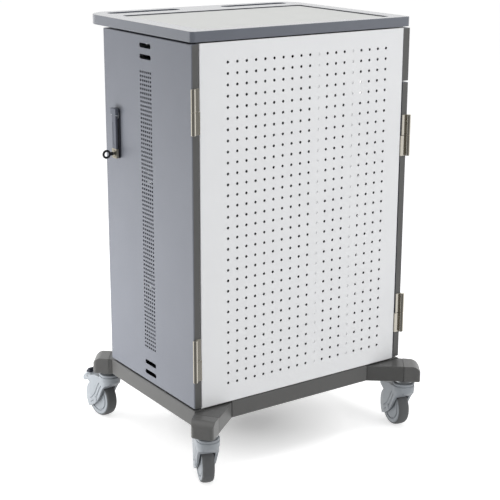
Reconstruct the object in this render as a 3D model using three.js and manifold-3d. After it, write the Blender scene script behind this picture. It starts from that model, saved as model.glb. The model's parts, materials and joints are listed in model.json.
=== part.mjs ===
// Laptop charging cart: a sheet-metal cabinet with a front and a back door, on a base with four casters.
// Millimetres, +Z up. The front door faces -Y and both doors are hinged on the +X side.
// The origin is on the floor under the middle of the cabinet.
import * as THREE from "three";
import { mergeVertices } from "three/addons/utils/BufferGeometryUtils.js";
import Module from "manifold-3d";

const wasm = await Module();
wasm.setup();

// Cabinet
const bodyWidth = 405;
const sideLength = 587;
const panelHeight = 855;
const sheet = 1.5;
const sideFlange = 14;
const uprightY = 35;
const uprightWidth = 20;
const uprightDepth = 10;
const partitionY = 127;
const partitionFlange = 22;
const deckThickness = 3;
const deckFlange = 20;
const bayCount = 3;
const shelfLip = 16;
const cableSlotWidth = 260;
const cableSlotHeight = 40;
const cableSlotDrop = 30;

// Divider racks: one comb of upright plates for each bay
const slotsPerRack = 7;
const dividerThickness = 2;
const dividerHeight = 190;
const rackFrontInset = 24;
const rackBackInset = 36;
const rackSideInset = 4;

// Doors
const doorThickness = 18;
const doorGap = 2.5;
const doorFootGap = 2;
const doorHeadGap = 1;
const backPanelHeight = 129;
const backPanelGap = 4;
const ventSlotWidth = 52;
const ventSlotHeight = 11;
const ventSlotPitch = 26;
const ventSlotInset = 23;

// Lift-off hinges
const hingeHeight = 104;
const knuckleRadius = 5.5;
const hingePinRadius = 2.8;
const leafThickness = 2;
const frameFlangeThickness = 1.8;
const frameFlangeReach = 20;
const hingeSplit = 0.5;
const lowerHingeHeight = 121;
const frontUpperHingeDrop = 148;
const backUpperHingeDrop = 132;

// Swing handle and locks
const handleInset = 64;
const handleFoot = 542;
const handleWidth = 27;
const handleHeight = 123;
const handleBaseThickness = 3.4;
const handleCorner = 7;
const leverWidth = 19;
const leverThickness = 6;
const pivotInset = 15;
const lockHeadRadius = 12;
const lockPlugRadius = 8;
const lockPlugProud = 1.5;
const lockPlugFloor = 2;
const spindleRadius = 5;
const yokeDiscRadius = 13.2;
const yokeDiscThickness = 1.4;
const yokeEarThickness = 3;
const yokeEarHalf = 3.4;
const trunnionRadius = 1.8;
const camThickness = 3;
const camWidth = 18;
const frontCamReach = 57;
const backCamReach = 43;
const keyBowRadius = 11;
const keyBowHole = 5.8;
const keyThickness = 2.4;
const keyNeck = 9;
const keyBladeHalf = 3.6;
const keyBladeDepth = 4;
const backLockHeight = 430;
const backLockInset = 50;
const backLockFlange = 12;
const backLockBarrel = 9;

// Worktop
const worktopThickness = 23.5;
const worktopGap = 3;
const worktopNearOverhang = 1;
const worktopHandleOverhang = 102;
const worktopNearRadius = 5;
const worktopFarRadius = 65;
const matNearRim = 27;
const matEndRim = 46;
const matFarInset = 11;
const matRecess = 5;
const matThickness = 2.2;
const gripInset = 30;
const gripWidth = 34;
const gripStart = 65;
const gripEndInset = 44;
const seatInset = 22;

// Base
const barHeight = 43;
const barWidth = 30;
const barWall = 3;
const castingReach = 106;
const panelLift = 2.5;
const castingTopDrop = 2;
const stemOutside = 38.5;
const stemInside = 12.5;
const noseAngle = 54;
const noseReach = 40;
const noseHalf = 28;
const noseRadius = 25;
const noseCorner = 10;
const noseLap = 1.5;

// Casters
const wheelDiameter = 100;
const wheelWidth = 32;
const wheelSides = 24;
const trail = 38;
const forkCheek = 9;
const forkSideGap = 2.2;
const forkTopGap = 2.6;
const crownRadius = 28;
const crownHeight = 33;
const crownClear = 30.3;
const collarHeight = 9.1;
const collarRadius = 24;
const neckHeight = 3.6;
const neckRadius = 20;
const stemRadius = 5.7;
const stemDepth = 10;
const stemLength = 30;
const axleRadius = 4;
const hubRadius = 20;
const discRadius = 38;
const wheelDish = 3;
const treadHalf = 8;
const crownLip = 4;
const cheekRadius = 47;
const cheekNotch = 62;
const cheekTip = 42;
const cheekLap = 2;
const cheekDrop = 20;
const cheekFront = 16;
const cheekLift = 4;
const cheekSweep = 34;
const cheekRise = 28;
const hornReach = 52;
const hornRise = 53;
const hornFace = 7;
const hornTaper = 3;
const pedalWidth = 30;
const pedalReach = 34;
const pedalFall = 22;
const pedalTip = 8;
const pedalHub = 5;
const pedalSlotGap = 2;
const pedalPinRadius = 2.5;
const pedalPinInset = 0.5;
const pedalPivotBack = 36;
const pedalPivotDrop = 26;
const releaseBack = 14;
const releaseWidth = 9;
const releaseRise = 16;
const trailAngles = { front_right: 159, back_right: 168, front_left: 186, back_left: 172 };

// Electrics
const stripWidth = 46;
const stripDepth = 38;
const stripHeadGap = 134.2;
const stripX = 160;
const stripFoot = 60;
const outletCount = 8;
const outletWidth = 28;
const outletDepth = 2.5;
const inletX = -120;
const inletWidth = 28;
const inletHeight = 20;
const inletDepth = 30;
const inletFlange = 9;
const inletSocketDepth = 17;

// Clearances
const seat = 0.3;
const turning = 0.6;

// Levels and faces worked out from the sizes above
const halfWidth = bodyWidth / 2;
const halfLength = sideLength / 2;
const doorBack = halfLength + doorGap;
const doorFace = doorBack + doorThickness;
const wheelRadius = wheelDiameter / 2;
const axleZ = wheelRadius * Math.cos(Math.PI / wheelSides);
const forkTop = wheelDiameter + crownClear;
const stemHalfX = halfWidth + stemOutside;
const stemHalfY = doorFace - stemInside;
const sideBarHalf = doorFace - castingReach;
const barBottom = forkTop + collarHeight + 2 * seat;
const barTop = barBottom + barHeight;
const panelBottom = barTop + panelLift;
const panelTop = panelBottom + panelHeight;
const doorBottom = panelBottom + doorFootGap;
const doorTop = panelTop - doorHeadGap;
const backDoorTop = doorTop - backPanelHeight - backPanelGap;
const deckTop = barTop + seat + deckThickness;
const roofUnder = panelTop - deckFlange;
const bayPitch = (roofUnder - deckTop) / bayCount;
const stripLength = roofUnder - deckTop - stripFoot - stripHeadGap;
const innerHalf = halfWidth - sheet - seat;
const shelfHalf = halfWidth - sheet - uprightDepth - seat;
const shelfFront = -(halfLength - sheet - 6);
const shelfBack = partitionY - seat;
const worktopUnder = panelTop + worktopGap;
const worktopTop = worktopUnder + worktopThickness;
const worktopNear = halfWidth + worktopNearOverhang;
const worktopFar = -(halfWidth + worktopHandleOverhang);
const hingeX = halfWidth + seat + knuckleRadius;
const hingeY = doorFace;
const handleX = -(halfWidth - handleInset);
const handleBottom = doorBottom + handleFoot;
const handleTop = handleBottom + handleHeight;
const baseFace = doorFace + seat + handleBaseThickness;
const yokeFace = baseFace + seat + yokeDiscThickness;
const leverBack = yokeFace + seat;
const leverFace = leverBack + leverThickness;
const pivotZ = handleTop - pivotInset;
const pivotY = leverBack + leverThickness / 2;
const lockZ = handleBottom + lockHeadRadius;
const camBack = halfLength - sheet - 0.8;
const pedalPivotX = trail + pedalPivotBack;
const pedalPivotZ = forkTop - pedalPivotDrop;
const sides = 16;

// Closed solid from a three.js geometry: joins shared points and drops collapsed faces.
function solid(geometry) {
  const bare = geometry.clone();
  bare.deleteAttribute("normal");
  bare.deleteAttribute("uv");
  const merged = mergeVertices(bare, 1e-4);
  const points = merged.attributes.position.array;
  const index = merged.index.array;
  const faces = [];
  let volume = 0;
  for (let i = 0; i < index.length; i += 3) {
    const [a, b, c] = [index[i], index[i + 1], index[i + 2]];
    if (a === b || b === c || c === a) continue;
    faces.push(a, b, c);
    const pa = new THREE.Vector3().fromArray(points, 3 * a);
    const pb = new THREE.Vector3().fromArray(points, 3 * b);
    const pc = new THREE.Vector3().fromArray(points, 3 * c);
    volume += pa.dot(pb.cross(pc));
  }
  if (volume < 0) faces.reverse();
  const vertProperties = Float32Array.from(points);
  const triVerts = Uint32Array.from(faces);
  return new wasm.Manifold(new wasm.Mesh({ numProp: 3, vertProperties, triVerts }));
}

function join(first, ...others) {
  return others.reduce((sum, other) => sum.add(other), first);
}

function cut(first, ...others) {
  return others.reduce((rest, other) => rest.subtract(other), first);
}

function box(x0, x1, y0, y1, z0, z1) {
  const geometry = new THREE.BoxGeometry(Math.abs(x1 - x0), Math.abs(y1 - y0), Math.abs(z1 - z0));
  geometry.translate((x0 + x1) / 2, (y0 + y1) / 2, (z0 + z1) / 2);
  return solid(geometry);
}

// Prism of an outline: along Z from (x, y), along Y from (x, z), or along X from (y, z), then put in place.
function prism(outline, axis, low, high, curveSegments = 6, place = new THREE.Matrix4()) {
  const depth = high - low;
  const geometry = new THREE.ExtrudeGeometry(outline, { depth, bevelEnabled: false, curveSegments });
  const [x, y, z] = [new THREE.Vector3(1, 0, 0), new THREE.Vector3(0, 1, 0), new THREE.Vector3(0, 0, 1)];
  const turn = new THREE.Matrix4();
  if (axis === "y") turn.makeBasis(x, z, y.negate()).setPosition(0, high, 0);
  if (axis === "x") turn.makeBasis(y, z, x).setPosition(low, 0, 0);
  if (axis === "z") turn.setPosition(0, 0, low);
  geometry.applyMatrix4(turn).applyMatrix4(place);
  return solid(geometry);
}

// Round bar along an axis, through the point given by its other two coordinates.
function rod(axis, radius, low, high, a, b, segments = sides) {
  const geometry = new THREE.CylinderGeometry(radius, radius, high - low, segments);
  const middle = (low + high) / 2;
  if (axis === "x") geometry.rotateZ(Math.PI / 2).translate(middle, a, b);
  if (axis === "y") geometry.translate(a, middle, b);
  if (axis === "z") geometry.rotateX(Math.PI / 2).translate(a, b, middle);
  return solid(geometry);
}

// Turned piece about Z from points of radius and height.
function turned(profile, segments) {
  const points = profile.map(([radius, height]) => new THREE.Vector2(radius, height));
  return solid(new THREE.LatheGeometry(points, segments).rotateX(Math.PI / 2));
}

function outlineOf(points) {
  return new THREE.Shape(points.map(([a, b]) => new THREE.Vector2(a, b)));
}

// Rectangle with a radius at each corner, from the low-low corner and round by +a, +b.
function roundedOutline(a0, a1, b0, b1, radii) {
  const [r0, r1, r2, r3] = Array.isArray(radii) ? radii : [radii, radii, radii, radii];
  const shape = new THREE.Shape();
  shape.moveTo(a0 + r0, b0);
  shape.lineTo(a1 - r1, b0);
  shape.absarc(a1 - r1, b0 + r1, r1, -Math.PI / 2, 0);
  shape.lineTo(a1, b1 - r2);
  shape.absarc(a1 - r2, b1 - r2, r2, 0, Math.PI / 2);
  shape.lineTo(a0 + r3, b1);
  shape.absarc(a0 + r3, b1 - r3, r3, Math.PI / 2, Math.PI);
  shape.lineTo(a0, b0 + r0);
  shape.absarc(a0 + r0, b0 + r0, r0, Math.PI, 1.5 * Math.PI);
  return shape;
}

const finishes = {
  greyPaint: { color: 0x8d919b, roughness: 0.5, metalness: 0.2 },
  whitePaint: { color: 0xe4e5e8, roughness: 0.45, metalness: 0.1 },
  greyMoulding: { color: 0x8a8c92, roughness: 0.55, metalness: 0 },
  paleMat: { color: 0xdcdddb, roughness: 0.6, metalness: 0 },
  greyCasting: { color: 0x8b8a88, roughness: 0.55, metalness: 0.3 },
  paleCaster: { color: 0xcbd5dc, roughness: 0.5, metalness: 0 },
  tyre: { color: 0x6b6d70, roughness: 0.8, metalness: 0 },
  steel: { color: 0xb9b5a8, roughness: 0.3, metalness: 1 },
  blackPlastic: { color: 0x202225, roughness: 0.5, metalness: 0 },
  greyPlastic: { color: 0x5d616a, roughness: 0.5, metalness: 0 },
};

const cart = new THREE.Group();

function piece(name, body, finish, parent = cart) {
  const mesh = body.getMesh();
  const geometry = new THREE.BufferGeometry();
  geometry.setAttribute("position", new THREE.BufferAttribute(mesh.vertProperties, 3));
  geometry.setIndex(new THREE.BufferAttribute(mesh.triVerts, 1));
  geometry.computeVertexNormals();
  const part = new THREE.Mesh(geometry, new THREE.MeshStandardMaterial(finishes[finish]));
  part.name = name;
  parent.add(part);
}

// Sides: a flat sheet with front and back flanges and a channel upright that carries the shelves.
for (const [name, sign] of [["right", 1], ["left", -1]]) {
  const outer = sign * halfWidth;
  const inner = sign * (halfWidth - sheet);
  const flangeEdge = sign * (halfWidth - sideFlange);
  const end = halfLength - sheet;
  const pan = outlineOf([
    [outer, -halfLength], [outer, halfLength], [flangeEdge, halfLength], [flangeEdge, end],
    [inner, end], [inner, -end], [flangeEdge, -end], [flangeEdge, -halfLength],
  ]);
  const foot = sign * (halfWidth - sheet / 2);
  const crest = sign * (halfWidth - sheet - uprightDepth);
  const web = inner - sign * sheet;
  const y0 = uprightY - uprightWidth / 2;
  const y1 = uprightY + uprightWidth / 2;
  const channel = outlineOf([
    [foot, y0], [crest, y0], [crest, y0 + sheet], [web, y0 + sheet],
    [web, y1 - sheet], [crest, y1 - sheet], [crest, y1], [foot, y1],
  ]);
  const upright = prism(channel, "z", deckTop + seat, roofUnder - seat);
  piece(`${name}_side_panel`, join(prism(pan, "z", panelBottom, panelTop), upright), "whitePaint");
}

// Floor and roof decks: plates with two flanges turned down.
function deck(name, top, thickness, flangeHalf, flangeReach) {
  const reach = halfLength - sheet - seat;
  const low = top - deckFlange;
  const plate = box(-innerHalf, innerHalf, -reach, reach, top - thickness, top);
  const flanges = [-1, 1].map((sign) =>
    box(sign * flangeHalf, sign * (flangeHalf - sheet), -flangeReach, flangeReach, low, top - thickness / 2),
  );
  piece(name, join(plate, ...flanges), "whitePaint");
}
deck("floor_deck", deckTop, deckThickness, halfWidth - barWidth - seat, doorFace - barWidth - seat);
deck("roof_deck", panelTop, sheet, innerHalf, halfLength - sheet - seat);

// Partition between the laptop bays and the power bay, with a cable slot at the head of each bay.
{
  const front = partitionY;
  const back = partitionY + partitionFlange;
  const inside = innerHalf - sheet;
  const pan = outlineOf([
    [-innerHalf, front], [innerHalf, front], [innerHalf, back], [inside, back],
    [inside, front + sheet], [-inside, front + sheet], [-inside, back], [-innerHalf, back],
  ]);
  const high = roofUnder - seat;
  const wall = prism(pan, "z", deckTop + seat, high);
  const neck = inside - seat;
  const lap = 0.2;
  const head = box(-neck, neck, front + lap, front + sheet - lap, high - 1, panelTop - sheet - seat);
  const slots = [];
  for (let bay = 1; bay <= bayCount; bay += 1) {
    const top = deckTop + bay * bayPitch - shelfLip - cableSlotDrop;
    const half = cableSlotWidth / 2;
    const outline = roundedOutline(-half, half, top - cableSlotHeight, top, cableSlotHeight / 3);
    slots.push(prism(outline, "y", front - sheet, front + 2 * sheet, 4));
  }
  piece("partition", cut(join(wall, head), ...slots), "whitePaint");
}

// Shelves: plates with lips turned down at the front and the back.
["middle", "upper"].forEach((name, level) => {
  const top = deckTop + (level + 1) * bayPitch;
  const plate = box(-shelfHalf, shelfHalf, shelfFront, shelfBack, top - sheet, top);
  const front = box(-shelfHalf, shelfHalf, shelfFront, shelfFront + sheet, top - shelfLip, top);
  const back = box(-shelfHalf, shelfHalf, shelfBack - sheet, shelfBack, top - shelfLip, top);
  piece(`${name}_shelf`, join(plate, front, back), "whitePaint");
});

// Divider racks: a foot plate with upright dividers between the laptop slots.
["lower", "middle", "upper"].forEach((name, level) => {
  const foot = deckTop + level * bayPitch + seat;
  const half = shelfHalf - rackSideInset;
  const pitch = (2 * half) / slotsPerRack;
  const points = [[-half, foot], [half, foot], [half, foot + dividerThickness]];
  for (let slot = slotsPerRack - 1; slot > 0; slot -= 1) {
    const right = -half + slot * pitch + dividerThickness / 2;
    const left = right - dividerThickness;
    points.push([right, foot + dividerThickness], [right, foot + dividerHeight]);
    points.push([left, foot + dividerHeight], [left, foot + dividerThickness]);
  }
  points.push([-half, foot + dividerThickness]);
  const comb = prism(outlineOf(points), "y", shelfFront + rackFrontInset, shelfBack - rackBackInset);
  piece(`${name}_divider_rack`, comb, "greyPlastic");
});

// Power strips on the back of the partition, with a shallow recess for each outlet.
for (const [name, sign] of [["left", -1], ["right", 1]]) {
  const x = sign * stripX;
  const back = partitionY + sheet + seat;
  const foot = deckTop + stripFoot;
  const face = back + stripDepth;
  const housing = box(x - stripWidth / 2, x + stripWidth / 2, back, face, foot, foot + stripLength);
  const outlets = [];
  for (let outlet = 0; outlet < outletCount; outlet += 1) {
    const z = foot + (stripLength * (outlet + 0.5)) / outletCount;
    const half = outletWidth / 2;
    outlets.push(box(x - half, x + half, face - outletDepth, face + 1, z - half, z + half));
  }
  piece(`${name}_power_strip`, cut(housing, ...outlets), "blackPlastic");
}

// Upper back panel, fixed above the back door, and the power inlet in it.
{
  const low = backDoorTop + backPanelGap;
  const inletZ = (low + doorTop) / 2;
  const back = halfLength + seat;
  const pan = box(-halfWidth, halfWidth, back, doorFace, low, doorTop);
  const hollow = box(
    -halfWidth + sheet, halfWidth - sheet, back - 1, doorFace - sheet, low + sheet, doorTop - sheet,
  );
  const x0 = inletX - inletWidth / 2;
  const x1 = inletX + inletWidth / 2;
  const z0 = inletZ - inletHeight / 2;
  const z1 = inletZ + inletHeight / 2;
  const opening = box(x0 - seat, x1 + seat, back, doorFace + 1, z0 - seat, z1 + seat);
  piece("upper_back_panel", cut(pan, hollow, opening), "greyPaint");

  const face = doorFace + seat + sheet;
  const flange = prism(
    roundedOutline(x0 - inletFlange, x1 + inletFlange, z0 - sheet, z1 + sheet, 4), "y", doorFace + seat, face,
  );
  const body = box(x0, x1, face - inletDepth, face, z0, z1);
  const wall = 2;
  const socket = box(x0 + wall, x1 - wall, face - inletSocketDepth, face + 1, z0 + wall, z1 - wall);
  piece("power_inlet", cut(join(body, flange), socket), "blackPlastic");
}

// Worktop moulding: flush on the perforated side, with two hand slots in its overhang on the other side.
{
  const radii = [worktopFarRadius, worktopNearRadius, worktopNearRadius, worktopFarRadius];
  const slab = prism(
    roundedOutline(worktopFar, worktopNear, -doorFace, doorFace, radii), "z", worktopUnder, worktopTop, 8,
  );
  const pad = box(
    -halfWidth + seatInset, halfWidth - seatInset, -halfLength + seatInset, halfLength - seatInset,
    panelTop + seat, worktopUnder + 1,
  );
  const matX1 = worktopNear - matNearRim;
  const matX0 = -halfWidth + matFarInset;
  const matY = doorFace - matEndRim;
  const recess = prism(
    roundedOutline(matX0, matX1, -matY, matY, 8), "z", worktopTop - matRecess, worktopTop + 1, 3,
  );
  const gripX0 = worktopFar + gripInset;
  const grips = [-1, 1].map((sign) => {
    const ends = [sign * gripStart, sign * (doorFace - gripEndInset)].sort((a, b) => a - b);
    const outline = roundedOutline(gripX0, gripX0 + gripWidth, ends[0], ends[1], gripWidth / 2);
    return prism(outline, "z", worktopUnder - 1, worktopTop + 1, 5);
  });
  piece("worktop", cut(join(slab, pad), recess, ...grips), "greyMoulding");

  const low = worktopTop - matRecess + seat;
  const matOutline = roundedOutline(matX0 + seat, matX1 - seat, -matY + seat, matY - seat, 8);
  piece("worktop_mat", prism(matOutline, "z", low, low + matThickness, 3), "paleMat");
}

// Base bars: open-ended square tubes between the corner castings.
for (const [name, sign] of [["right", 1], ["left", -1]]) {
  const outer = sign * halfWidth;
  const inner = sign * (halfWidth - barWidth);
  const half = sideBarHalf - seat;
  const tube = box(outer, inner, -half, half, barBottom, barTop);
  const bore = box(
    outer - sign * barWall, inner + sign * barWall, -half - 1, half + 1, barBottom + barWall, barTop - barWall,
  );
  piece(`${name}_base_bar`, cut(tube, bore), "greyPaint");
}
for (const [name, sign] of [["front", -1], ["back", 1]]) {
  const outer = sign * doorFace;
  const inner = sign * (doorFace - barWidth);
  const tube = box(-halfWidth, halfWidth, outer, inner, barBottom, barTop);
  const bore = box(
    -halfWidth - 1, halfWidth + 1, outer - sign * barWall, inner + sign * barWall,
    barBottom + barWall, barTop - barWall,
  );
  piece(`${name}_base_bar`, cut(tube, bore), "greyPaint");
}

// Corner casting: arms from the side bar and the front bar meet in a nose over the caster, rounded over at
// its end.
function casting(signX, signY) {
  const barEnd = halfWidth + seat;
  const barInside = doorFace - barWidth - seat;
  const turn = THREE.MathUtils.degToRad(noseAngle);
  const along = new THREE.Vector2(Math.cos(turn), Math.sin(turn));
  const across = new THREE.Vector2(along.y, -along.x);
  const middle = new THREE.Vector2(stemHalfX, stemHalfY).addScaledVector(along, noseReach);
  const sideEnd = new THREE.Vector2(halfWidth, sideBarHalf);
  const frontEnd = new THREE.Vector2(barEnd, doorFace);
  const right = middle.clone().addScaledVector(across, noseHalf);
  const left = middle.clone().addScaledVector(across, -noseHalf);
  const near = (from, to) => to.clone().sub(from).setLength(noseCorner).add(from);
  const bend = (shape, from, at, to) => {
    const [start, end] = [near(at, from), near(at, to)];
    shape.lineTo(start.x, start.y);
    shape.quadraticCurveTo(at.x, at.y, end.x, end.y);
  };
  const plan = new THREE.Shape();
  plan.moveTo(sideEnd.x, sideEnd.y);
  bend(plan, sideEnd, right, left);
  bend(plan, right, left, frontEnd);
  plan.lineTo(frontEnd.x, frontEnd.y);
  plan.lineTo(barEnd, barInside);
  plan.lineTo(halfWidth - barWidth, barInside);
  plan.lineTo(halfWidth - barWidth, sideBarHalf);
  const outline = outlineOf(plan.getPoints(4).map(({ x, y }) => [signX * x, signY * y]));
  const top = barTop - castingTopDrop;
  const block = prism(outline, "z", barBottom, top);

  // The rounding runs across the nose: x from the stem outwards, z up.
  const [x, y] = [signX * stemHalfX, signY * stemHalfY];
  const place = new THREE.Matrix4().makeRotationZ(Math.atan2(signY * along.y, signX * along.x));
  place.setPosition(x, y, 0);
  const roundFrom = noseReach - noseRadius + noseLap;
  const over = new THREE.Shape();
  over.moveTo(roundFrom, top + 1);
  over.absarc(roundFrom, top + seat - noseRadius, noseRadius, Math.PI / 2, 0, true);
  over.lineTo(noseReach + noseCorner, top + seat - noseRadius);
  over.lineTo(noseReach + noseCorner, top + 1);
  const bore = rod("z", stemRadius + seat, barBottom - 1, barBottom + stemLength + seat, x, y);
  return cut(block, prism(over, "y", -castingReach, castingReach, 8, place), bore);
}

// Fork seen from the side: x runs from the swivel axis towards the axle, z is up. The cheek is a comma: round
// about the axle at the back, with a front edge that sweeps from its tip up to the crown.
function forkOutline() {
  const shape = new THREE.Shape();
  const front = -crownRadius + 3;
  const notch = THREE.MathUtils.degToRad(cheekNotch);
  const tip = THREE.MathUtils.degToRad(-cheekTip);
  shape.moveTo(front, forkTop - crownLip);
  shape.lineTo(crownRadius + crownLip, forkTop - crownLip);
  shape.lineTo(trail + hornReach, axleZ + hornRise);
  shape.lineTo(trail + hornReach - hornTaper, axleZ + hornRise - hornFace);
  shape.absarc(trail, axleZ, cheekRadius, notch, tip, true);
  shape.quadraticCurveTo(trail + cheekLap, axleZ - cheekDrop, trail - cheekFront, axleZ + cheekLift);
  shape.quadraticCurveTo(trail - cheekSweep, axleZ + cheekRise, front, forkTop - crownHeight);
  return shape;
}

function fork(withPedal) {
  const slotHalf = wheelWidth / 2 + forkSideGap;
  const half = slotHalf + forkCheek;
  const slotRadius = wheelRadius + forkTopGap;
  const crown = rod("z", crownRadius, forkTop - crownHeight, forkTop, 0, 0, 24);
  const cuts = [
    rod("y", slotRadius, -slotHalf, slotHalf, trail, axleZ, 32),
    box(trail - slotRadius, trail + slotRadius, -slotHalf, slotHalf, 0, axleZ),
    rod("z", stemRadius + turning, forkTop - stemDepth - turning, forkTop + 1, 0, 0),
    rod("y", axleRadius + seat, -half - 1, half + 1, trail, axleZ),
  ];
  if (withPedal) {
    const slotFront = pedalPivotX - pedalHub - pedalSlotGap;
    const pedalHalf = pedalWidth / 2 + seat;
    cuts.push(
      box(slotFront, trail + hornReach + 1, -pedalHalf, pedalHalf, axleZ, forkTop),
      rod("y", pedalPinRadius + turning, -half - 1, half + 1, pedalPivotX, pedalPivotZ),
    );
  }
  return cut(join(prism(forkOutline(), "y", -half, half, 8), crown), ...cuts);
}

function wheel() {
  const half = wheelWidth / 2;
  const bore = axleRadius + turning;
  const dish = half - wheelDish;
  const profile = [
    [bore, -half], [hubRadius - 2, -half], [hubRadius, -dish], [discRadius, -dish], [discRadius + 3, 1 - half],
    [wheelRadius - 4, 1.5 - half], [wheelRadius, -treadHalf], [wheelRadius, treadHalf],
    [wheelRadius - 4, half - 1.5], [discRadius + 3, half - 1], [discRadius, dish],
    [hubRadius, dish], [hubRadius - 2, half], [bore, half], [bore, -half],
  ];
  const points = profile.map(([radius, height]) => new THREE.Vector2(radius, height));
  // A flat of the rolling face is turned to the floor.
  const geometry = new THREE.LatheGeometry(points, wheelSides).rotateY(Math.PI / wheelSides);
  return solid(geometry.translate(trail, 0, axleZ));
}

// Brake pedal: a rocker on a pin between the sides of the fork's horn, with a long lower tab to press it and a
// short raised one to release it.
function pedal() {
  const half = wheelWidth / 2 + forkSideGap + forkCheek - pedalPinInset;
  const [x, z] = [pedalPivotX, pedalPivotZ];
  const [tip, fall] = [x + pedalReach, z - pedalFall];
  const release = x + releaseBack;
  const [low, high] = [z - pedalHub + pedalPinInset, z + pedalHub - pedalPinInset];
  const outline = outlineOf([
    [x, low], [tip - pedalTip, fall], [tip, fall], [tip, fall + pedalTip], [release + releaseWidth, z],
    [release + releaseWidth, z + releaseRise], [release, z + releaseRise], [x + pedalHub, high], [x, high],
  ]);
  const hubHalf = pedalWidth / 2 - pedalPinInset;
  const boss = rod("y", pedalHub, -hubHalf, hubHalf, x, z);
  const pin = rod("y", pedalPinRadius, -half, half, x, z);
  return join(prism(outline, "y", -pedalWidth / 2, pedalWidth / 2), boss, pin);
}

function stem() {
  const low = forkTop - stemDepth;
  const collarLow = forkTop + seat;
  const collarTop = collarLow + collarHeight;
  return turned(
    [
      [0, low], [stemRadius, low], [stemRadius, collarLow], [neckRadius, collarLow],
      [neckRadius, collarLow + neckHeight], [collarRadius, collarLow + neckHeight], [collarRadius, collarTop],
      [stemRadius, collarTop], [stemRadius, barBottom + stemLength], [0, barBottom + stemLength],
    ],
    sides,
  );
}

for (const [corner, angle] of Object.entries(trailAngles)) {
  const signX = corner.endsWith("right") ? 1 : -1;
  const signY = corner.startsWith("back") ? 1 : -1;
  piece(`${corner}_casting`, casting(signX, signY), "greyCasting");
  const post = new THREE.Group();
  post.position.set(signX * stemHalfX, signY * stemHalfY, 0);
  cart.add(post);
  piece(`${corner}_stem`, stem(), "steel", post);
  const swivel = new THREE.Group();
  swivel.rotation.z = THREE.MathUtils.degToRad(angle);
  post.add(swivel);
  const axleHalf = wheelWidth / 2 + forkSideGap + forkCheek + 0.5;
  piece(`${corner}_fork`, fork(signX < 0), "paleCaster", swivel);
  piece(`${corner}_axle`, rod("y", axleRadius, -axleHalf, axleHalf, trail, axleZ), "steel", swivel);
  piece(`${corner}_wheel`, wheel(), "tyre", swivel);
  if (signX < 0) piece(`${corner}_brake_pedal`, pedal(), "paleCaster", swivel);
}

// Depth range behind a door's outer face, on the front (-1) or the back (1).
function behind(side, from, to) {
  return [side * (doorFace - from), side * (doorFace - to)].sort((a, b) => a - b);
}

// Door: a folded pan, open to the inside, with pairs of vent slots at its head and foot.
function door(side, top, slots) {
  const [y0, y1] = behind(side, 0, doorThickness);
  const [h0, h1] = behind(side, sheet, doorThickness + 1);
  const [s0, s1] = behind(side, -1, sheet + 1);
  const pan = box(-halfWidth, halfWidth, y0, y1, doorBottom, top);
  const hollow = box(-halfWidth + sheet, halfWidth - sheet, h0, h1, doorBottom + sheet, top - sheet);
  const vents = [];
  for (let slot = 0; slot < slots; slot += 1) {
    const offset = ventSlotInset + slot * ventSlotPitch;
    for (const z of [doorBottom + offset, top - offset]) {
      const [w, h] = [ventSlotWidth / 2, ventSlotHeight / 2];
      vents.push(prism(roundedOutline(-w, w, z - h, z + h, h * 0.7), "y", s0, s1, 3));
    }
  }
  return cut(pan, hollow, ...vents);
}

// Lift-off hinge: the frame leaf carries the pin and reaches into the gap behind the door.
function hinge(name, side, middle) {
  const y = side * hingeY;
  const low = middle - hingeHeight / 2;
  const high = middle + hingeHeight / 2;
  const split = middle - hingeSplit / 2;
  const x0 = halfWidth + seat;
  const [d0, d1] = behind(side, 0, doorThickness - seat);
  const [f0, f1] = behind(side, 0, doorThickness + seat + frameFlangeThickness);
  const [g0, g1] = behind(side, doorThickness + seat, doorThickness + seat + frameFlangeThickness);
  const knuckle = rod("z", knuckleRadius, low, split, hingeX, y);
  const pin = rod("z", hingePinRadius, split - 1, high - 4, hingeX, y);
  const leaf = box(x0, x0 + leafThickness, f0, f1, low, split);
  const flange = box(x0 + leafThickness, x0 - frameFlangeReach, g0, g1, low, split);
  piece(`${name}_hinge_frame_leaf`, join(knuckle, pin, leaf, flange), "steel");

  const foot = middle + hingeSplit / 2;
  const doorKnuckle = rod("z", knuckleRadius, foot, high, hingeX, y);
  const doorLeaf = box(x0, x0 + leafThickness, d0, d1, foot, high);
  const bore = rod("z", hingePinRadius + seat + 0.1, foot - 1, high - 4 + seat, hingeX, y);
  piece(`${name}_hinge_door_leaf`, cut(join(doorKnuckle, doorLeaf), bore), "steel");
}

hinge("front_upper", -1, doorTop - frontUpperHingeDrop);
hinge("front_lower", -1, doorBottom + lowerHingeHeight);
hinge("back_upper", 1, backDoorTop - backUpperHingeDrop);
hinge("back_lower", 1, doorBottom + lowerHingeHeight);

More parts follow.
